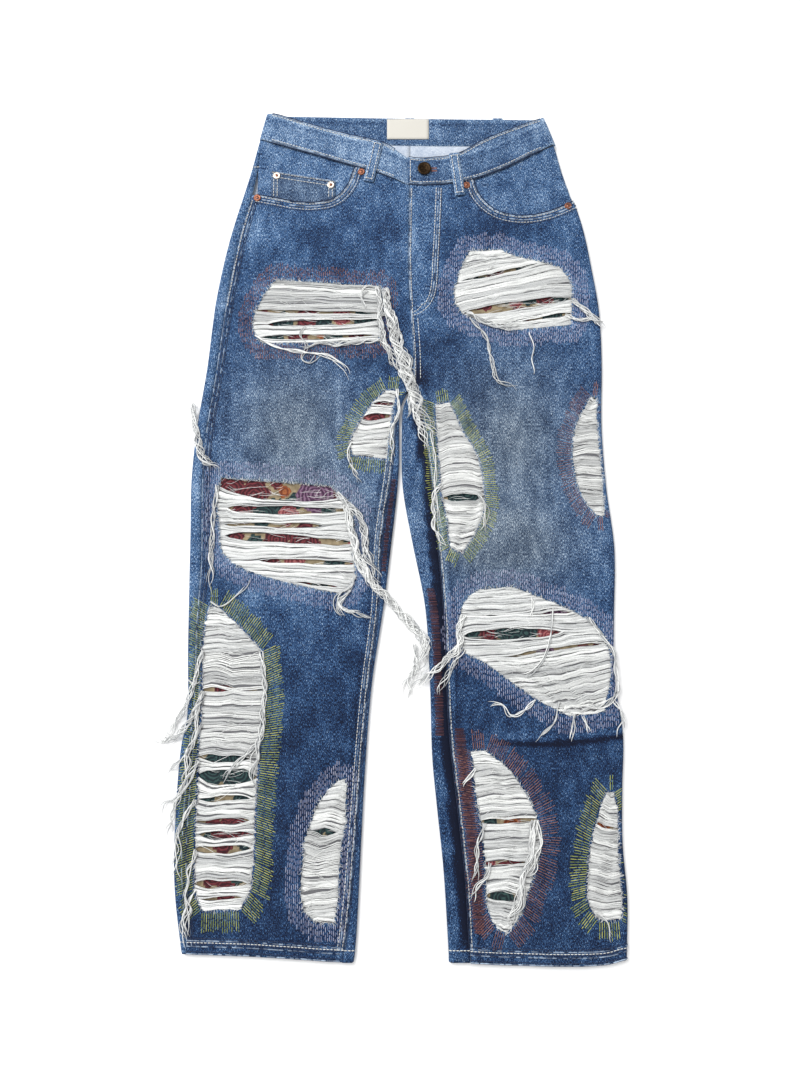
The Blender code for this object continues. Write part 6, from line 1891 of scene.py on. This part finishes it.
ROPES = {
    "fringe_right_thigh": (
        (((-0.015, 0.271), (-0.010, 0.239), (-0.003, 0.207), (0.010, 0.171), (0.020, 0.141),
          (0.032, 0.113), (0.041, 0.092)), 20),
        (((-0.024, 0.274), (-0.021, 0.248), (-0.019, 0.219), (-0.012, 0.197), (0.000, 0.175),
          (0.013, 0.154)), 11),
        (((-0.022, 0.238), (-0.006, 0.241), (0.000, 0.219), (0.007, 0.197), (0.016, 0.172),
          (0.022, 0.154)), 8),
        (((-0.039, 0.248), (-0.042, 0.261), (-0.038, 0.270), (-0.029, 0.272)), 4),
        (((0.002, 0.168), (0.010, 0.154), (0.017, 0.140), (0.022, 0.115), (0.029, 0.092),
          (0.036, 0.069)), 8),
        (((0.016, 0.140), (0.014, 0.124), (0.013, 0.108)), 4),
        (((0.022, 0.106), (0.039, 0.097), (0.050, 0.085)), 4),
        (((0.000, 0.145), (0.002, 0.127), (0.000, 0.110), (-0.007, 0.089), (-0.005, 0.069),
          (-0.002, 0.047)), 5),
        (((0.041, 0.092), (0.046, 0.045), (0.046, 0.009), (0.050, -0.010), (0.059, -0.033)), 2),
    ),
    "fringe_right_thigh_low": (
        (((-0.172, 0.213), (-0.155, 0.200), (-0.118, 0.192), (-0.080, 0.184), (-0.063, 0.172),
          (-0.058, 0.150)), 4),
        (((-0.112, 0.225), (-0.118, 0.213), (-0.110, 0.198), (-0.115, 0.183), (-0.105, 0.177),
          (-0.095, 0.186), (-0.094, 0.197)), 2),
        (((-0.020, 0.208), (-0.045, 0.203), (-0.080, 0.202), (-0.120, 0.200)), 7),
    ),
    "fringe_right_outer": (
        (((-0.247, 0.128), (-0.242, 0.100), (-0.235, 0.070), (-0.223, 0.051), (-0.208, 0.040)), 10),
    ),
    "fringe_right_knee": (
        (((-0.062, 0.003), (-0.053, -0.027), (-0.043, -0.062), (-0.029, -0.088), (-0.014, -0.104),
          (0.006, -0.126), (0.027, -0.149), (0.033, -0.167), (0.024, -0.192), (0.004, -0.212)), 14),
        (((-0.072, 0.016), (-0.056, 0.003), (-0.042, -0.015), (-0.038, -0.039), (-0.033, -0.065),
          (-0.026, -0.083), (-0.020, -0.093)), 12),
        (((-0.054, -0.024), (-0.052, -0.039), (-0.048, -0.057), (-0.042, -0.074), (-0.029, -0.089),
          (-0.020, -0.099)), 9),
        (((-0.049, -0.080), (-0.055, -0.095), (-0.069, -0.106), (-0.068, -0.118),
          (-0.059, -0.126)), 6),
        (((-0.055, -0.097), (-0.065, -0.113), (-0.055, -0.123), (-0.029, -0.125)), 6),
        (((0.020, -0.160), (0.022, -0.185), (0.012, -0.204), (0.014, -0.222)), 7),
    ),
    "fringe_left_knee": (
        (((0.077, -0.126), (0.071, -0.144), (0.073, -0.157), (0.063, -0.175), (0.049, -0.186)), 9),
        (((0.075, -0.155), (0.061, -0.172), (0.038, -0.195), (0.009, -0.212)), 8),
        (((0.078, -0.165), (0.064, -0.185), (0.052, -0.205), (0.046, -0.222)), 4),
    ),
    "fringe_left_thigh": (
        (((0.214, 0.258), (0.230, 0.243), (0.243, 0.230), (0.256, 0.222)), 9),
        (((0.205, 0.238), (0.222, 0.232), (0.238, 0.233), (0.250, 0.226)), 6),
    ),
    "fringe_left_thigh_low": (
        (((0.089, 0.235), (0.106, 0.213), (0.114, 0.188), (0.117, 0.164), (0.130, 0.151),
          (0.146, 0.144)), 4),
        (((0.162, 0.217), (0.165, 0.194), (0.163, 0.161)), 2),
        (((0.085, 0.242), (0.100, 0.232), (0.125, 0.224), (0.150, 0.222)), 9),
    ),
    "fringe_left_shin": (
        (((0.153, -0.355), (0.149, -0.380), (0.149, -0.394), (0.140, -0.415), (0.138, -0.429),
          (0.136, -0.447), (0.117, -0.471)), 7),
        (((0.158, -0.355), (0.160, -0.383), (0.155, -0.401), (0.149, -0.419)), 5),
        (((0.156, -0.355), (0.150, -0.387), (0.139, -0.419), (0.129, -0.451), (0.119, -0.476)), 6),
    ),
    "fringe_right_shin": (
        (((-0.156, -0.168), (-0.153, -0.191), (-0.151, -0.213), (-0.153, -0.239), (-0.154, -0.263),
          (-0.160, -0.286), (-0.161, -0.310), (-0.159, -0.333)), 7),
        (((-0.160, -0.272), (-0.176, -0.288), (-0.188, -0.301), (-0.201, -0.313)), 5),
        (((-0.224, -0.167), (-0.235, -0.212), (-0.247, -0.240), (-0.269, -0.273),
          (-0.275, -0.286)), 6),
        (((-0.222, -0.213), (-0.227, -0.229), (-0.229, -0.258), (-0.236, -0.280),
          (-0.238, -0.302), (-0.246, -0.322), (-0.248, -0.333)), 6),
        (((-0.225, -0.223), (-0.240, -0.252), (-0.262, -0.268), (-0.276, -0.262)), 7),
        (((-0.225, -0.290), (-0.240, -0.318), (-0.251, -0.345), (-0.258, -0.374)), 5),
        (((-0.226, -0.333), (-0.241, -0.358), (-0.246, -0.390), (-0.248, -0.424)), 5),
        (((-0.226, -0.300), (-0.246, -0.330), (-0.262, -0.338), (-0.268, -0.350)), 4),
        (((-0.224, -0.387), (-0.233, -0.420), (-0.230, -0.455), (-0.234, -0.487)), 5),
        (((-0.222, -0.430), (-0.234, -0.450), (-0.236, -0.470), (-0.230, -0.490)), 4),
        (((-0.240, -0.201), (-0.234, -0.205), (-0.225, -0.203)), 3),
        (((-0.222, -0.250), (-0.238, -0.285), (-0.256, -0.300), (-0.262, -0.318)), 4),
    ),
    "fringe_left_knee_low": (
        (((0.158, -0.223), (0.143, -0.237), (0.129, -0.240), (0.118, -0.230), (0.106, -0.228),
          (0.095, -0.239)), 3),
        (((0.186, -0.225), (0.181, -0.243), (0.168, -0.259), (0.151, -0.270)), 3),
        (((0.201, -0.239), (0.200, -0.254), (0.197, -0.269)), 3),
        (((0.212, -0.241), (0.219, -0.261)), 3),
        (((0.246, -0.223), (0.257, -0.237), (0.257, -0.251), (0.251, -0.265)), 4),
        (((0.222, -0.129), (0.239, -0.154), (0.250, -0.168), (0.251, -0.189), (0.253, -0.213),
          (0.242, -0.225), (0.228, -0.231), (0.212, -0.226), (0.196, -0.222)), 4),
        (((0.182, -0.117), (0.178, -0.144), (0.171, -0.176), (0.154, -0.193), (0.136, -0.199)), 2),
        (((0.156, -0.106), (0.158, -0.116), (0.157, -0.129)), 2),
    ),
}
LOOSE_ROPES = (
    (((-0.213, 0.027), (-0.216, -0.003), (-0.217, -0.033), (-0.217, -0.062), (-0.217, -0.092),
      (-0.217, -0.111)), 5),
    (((-0.217, -0.111), (-0.205, -0.116), (-0.185, -0.103), (-0.173, -0.086), (-0.172, -0.077)), 2),
    (((0.098, -0.358), (0.095, -0.369), (0.090, -0.382), (0.088, -0.401), (0.087, -0.419),
      (0.084, -0.429)), 4),
    (((0.104, -0.401), (0.099, -0.415), (0.088, -0.429), (0.080, -0.442)), 4),
    (((0.089, -0.299), (0.079, -0.313), (0.073, -0.321)), 3),
    (((0.220, -0.454), (0.231, -0.464), (0.234, -0.475), (0.238, -0.483)), 3),
    (((-0.056, 0.080), (-0.058, 0.069), (-0.054, 0.049), (-0.046, 0.028)), 3),
    (((0.053, 0.028), (0.044, 0.017), (0.042, 0.000), (0.046, -0.010), (0.042, -0.024),
      (0.049, -0.035), (0.059, -0.046)), 4),
    (((0.096, 0.017), (0.105, 0.000), (0.104, -0.017), (0.099, -0.032)), 3),
)
YARN_RADIUS = 0.00068


def fringes():
    for node, ropes in ROPES.items():
        rng = random.Random(node)
        strands = Strands()
        for points, yarns in ropes:
            rope(strands, points, yarns, YARN_RADIUS, rng)
        obj = strands.object("Loose yarns " + node.replace("fringe_", "").replace("_", " "), WEFT_YARN)
        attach(obj, "root")
        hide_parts(node)
    rng = random.Random("short fringes")
    strands = Strands()
    for points, yarns in LOOSE_ROPES:
        rope(strands, points, yarns, YARN_RADIUS, rng)
    for name, outline in RIP_OUTLINES.items():
        fray(strands, outline, rng)
    obj = strands.object("Frayed edges", WEFT_YARN)
    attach(obj, "root")


def fray(strands, outline, rng):
    """Short ends all round a rip, most of them over its edge."""
    middle = Vector(np.mean(outline, axis=0))
    for x, y in spread_points(outline, 0.0011):
        if rng.random() < 0.25:
            continue
        out = (Vector((x, y)) - middle).normalized()
        turn = rng.gauss(0, 0.7)
        heading = Vector((out.x * math.cos(turn) - out.y * math.sin(turn),
                          out.x * math.sin(turn) + out.y * math.cos(turn)))
        length = rng.uniform(0.002, 0.0055)
        start = Vector((x, y)) - out * rng.uniform(0.0005, 0.002)
        bend = rng.gauss(0, 0.3)
        line = []
        for s in steps_between(0, 1, 4):
            place = start + heading * length * s + Vector((-heading.y, heading.x)) * bend * length * s * s
            line.append(on_top(place.x, place.y, -0.0003 - 0.0006 * math.sin(3 * s)))
        strands.add(line, rng.uniform(0.00016, 0.00030), rng.uniform(0.3, 1.0), 0.8, 0.2)


# Hardware
TURNED_STEPS = 40


def turned(name, profile, place, material, steps=TURNED_STEPS):
    """A turned piece from its profile of radius and height."""
    vertices, faces = [], []
    for radius, height in profile:
        for k in range(steps):
            angle = 2 * math.pi * k / steps
            spoke = Vector((radius * math.cos(angle), radius * math.sin(angle), height))
            vertices.append(place + spoke + SHIFT)
    for row in range(len(profile) - 1):
        for k in range(steps):
            a, b = row * steps + k, row * steps + (k + 1) % steps
            faces.append((a, a + steps, b + steps, b))
    mesh = bpy.data.meshes.new(name)
    mesh.from_pydata(vertices, [], faces)
    mesh.polygons.foreach_set("use_smooth", [True] * len(mesh.polygons))
    return shown(name, mesh, material)


RIVET_PROFILE = ((0.00001, 0.0014), (0.0009, 0.0015), (0.0014, 0.0012), (0.0019, 0.0008),
                 (0.0026, 0.0008), (0.0034, 0.0010), (0.0040, 0.0010), (0.0044, 0.0007),
                 (0.0046, 0.0003), (0.0046, 0.0), (0.00001, 0.0))
BUTTON_PROFILE = ((0.00001, 0.0026), (0.0040, 0.0027), (0.0062, 0.0030), (0.0070, 0.0032),
                  (0.0078, 0.0031), (0.0084, 0.0028), (0.0085, 0.0022), (0.0083, 0.0016),
                  (0.0045, 0.0010), (0.0035, 0.0), (0.00001, 0.0))
RIVETS = (
    ("rivet_right_inner", -0.0450, 0.4270, 0.0, False),
    ("rivet_right_outer", -0.1745, 0.3915, 0.0, False),
    ("rivet_coin_outer", -0.1510, 0.4215, 0.0002, True),
    ("rivet_coin_inner", -0.0830, 0.4090, 0.0002, True),
    ("rivet_left_inner", 0.0870, 0.4090, 0.0, False), ("rivet_left_outer", 0.2130, 0.3810, 0.0, False),
)


BUTTON_PLACE = (0.034, 0.429)
SLIT_STARTS = 0.0425
SLIT_LENGTH = 0.0072
SLIT_STITCHES = 22


def hardware():
    for node, x, y, depth, pale in RIVETS:
        place = on_top(x, y, depth - LAYER_GAP)
        title = node.replace("_", " ").capitalize()
        rivet = turned(title, RIVET_PROFILE, place, PALE_METAL if pale else COPPER)
        if pale:
            rivet.data.materials.append(COPPER)
            for polygon in rivet.data.polygons:
                polygon.material_index = 1 if polygon.index < 3 * TURNED_STEPS else 0
        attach(rivet, "root")
        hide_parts(node)
    seat = on_top(*BUTTON_PLACE, -BAND_PROUD - LAYER_GAP - 0.0001)
    button = turned("Button", BUTTON_PROFILE, seat, DARK_METAL)
    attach(button, "root")
    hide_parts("button")
    strands = Strands()
    rng = random.Random(3)
    for x in steps_between(SLIT_STARTS, SLIT_STARTS + SLIT_LENGTH, SLIT_STITCHES - 1):
        for side in (-1, 1):
            row = [on_top(x, BUTTON_PLACE[1] + side * s,
                          -BAND_PROUD - 0.0003 - 0.0003 * math.sin(900 * s))
                   for s in steps_between(0.0006, 0.0030, 3)]
            strands.add(row, 0.0002, rng.uniform(0.2, 0.9))
    obj = strands.object("Buttonhole", RUST_YARN)
    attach(obj, "root")


# Build
panels()
waistband()
facing(RIGHT, RIGHT_POCKET_MOUTH, -0.040, 0.47)
facing(LEFT, LEFT_POCKET_MOUTH, 0.086, 0.43)
coin_pocket()
fly_shield()
for loop_name, loop_ends in FRONT_LOOPS.items():
    belt_loop("belt_loop_front_" + loop_name, *loop_ends, True)
for loop_name, loop_x in BACK_LOOPS.items():
    belt_loop("belt_loop_back_" + loop_name, (loop_x, BACK_LOOP_LOW), (loop_x, BACK_LOOP_HIGH), False)
for pocket_leg, pocket_middle in zip(LEGS, BACK_POCKET_MIDDLES):
    back_pocket(pocket_leg, pocket_middle)
inner_label()
for rip_name in RIPS:
    weft(rip_name)
    patch(rip_name)
    border(rip_name)
ridges()
topstitching()
ladders()
fringes()
hardware()


# Studio
FLOOR_SIZE = 8.0
CAMERA_PLACE = (0.009, -0.1581, 0.939)
CAMERA_TILT = math.radians(7.9)
FOCAL_SHARE = 800 / 1067
SENSOR = 36.0
LAMP_PLACE = (-1.3, 1.3, 2.2)
LAMP_SIZE = 1.6
LAMP_POWER = 85.0
SKY_STRENGTH = 0.78

floor_mesh = bpy.data.meshes.new("Floor")
half = FLOOR_SIZE / 2
floor_mesh.from_pydata([(-half, -half, 0), (half, -half, 0), (half, half, 0), (-half, half, 0)], [],
                       [(0, 1, 2, 3)])
floor_nodes = Nodes("floor", roughness=0.95)
floor_nodes.shader.inputs["Base Color"].default_value = (0.93, 0.93, 0.93, 1.0)
floor = shown("Floor", floor_mesh, floor_nodes.material)
floor.location.z = CAD_BOX[0][2] - 0.0003
lamp_data = bpy.data.lights.new("Soft light", "AREA")
lamp_data.energy = LAMP_POWER
lamp_data.size = LAMP_SIZE
lamp = bpy.data.objects.new("Soft light", lamp_data)
lamp.location = LAMP_PLACE
lamp.rotation_euler = (-Vector(LAMP_PLACE)).to_track_quat("-Z", "Y").to_euler()
bpy.context.scene.collection.objects.link(lamp)

world = bpy.data.worlds.new("Studio")
world.use_nodes = True
world.node_tree.nodes["Background"].inputs["Color"].default_value = (1.0, 1.0, 1.0, 1.0)
world.node_tree.nodes["Background"].inputs["Strength"].default_value = SKY_STRENGTH
bpy.context.scene.world = world

camera_data = bpy.data.cameras.new("Camera")
camera_data.sensor_width = SENSOR
camera_data.lens = FOCAL_SHARE * SENSOR
camera = bpy.data.objects.new("Camera", camera_data)
camera.location = CAMERA_PLACE
camera.rotation_euler = (CAMERA_TILT, 0.0, 0.0)
bpy.context.scene.collection.objects.link(camera)
bpy.context.scene.camera = camera
bpy.context.scene.view_settings.view_transform = "Standard"
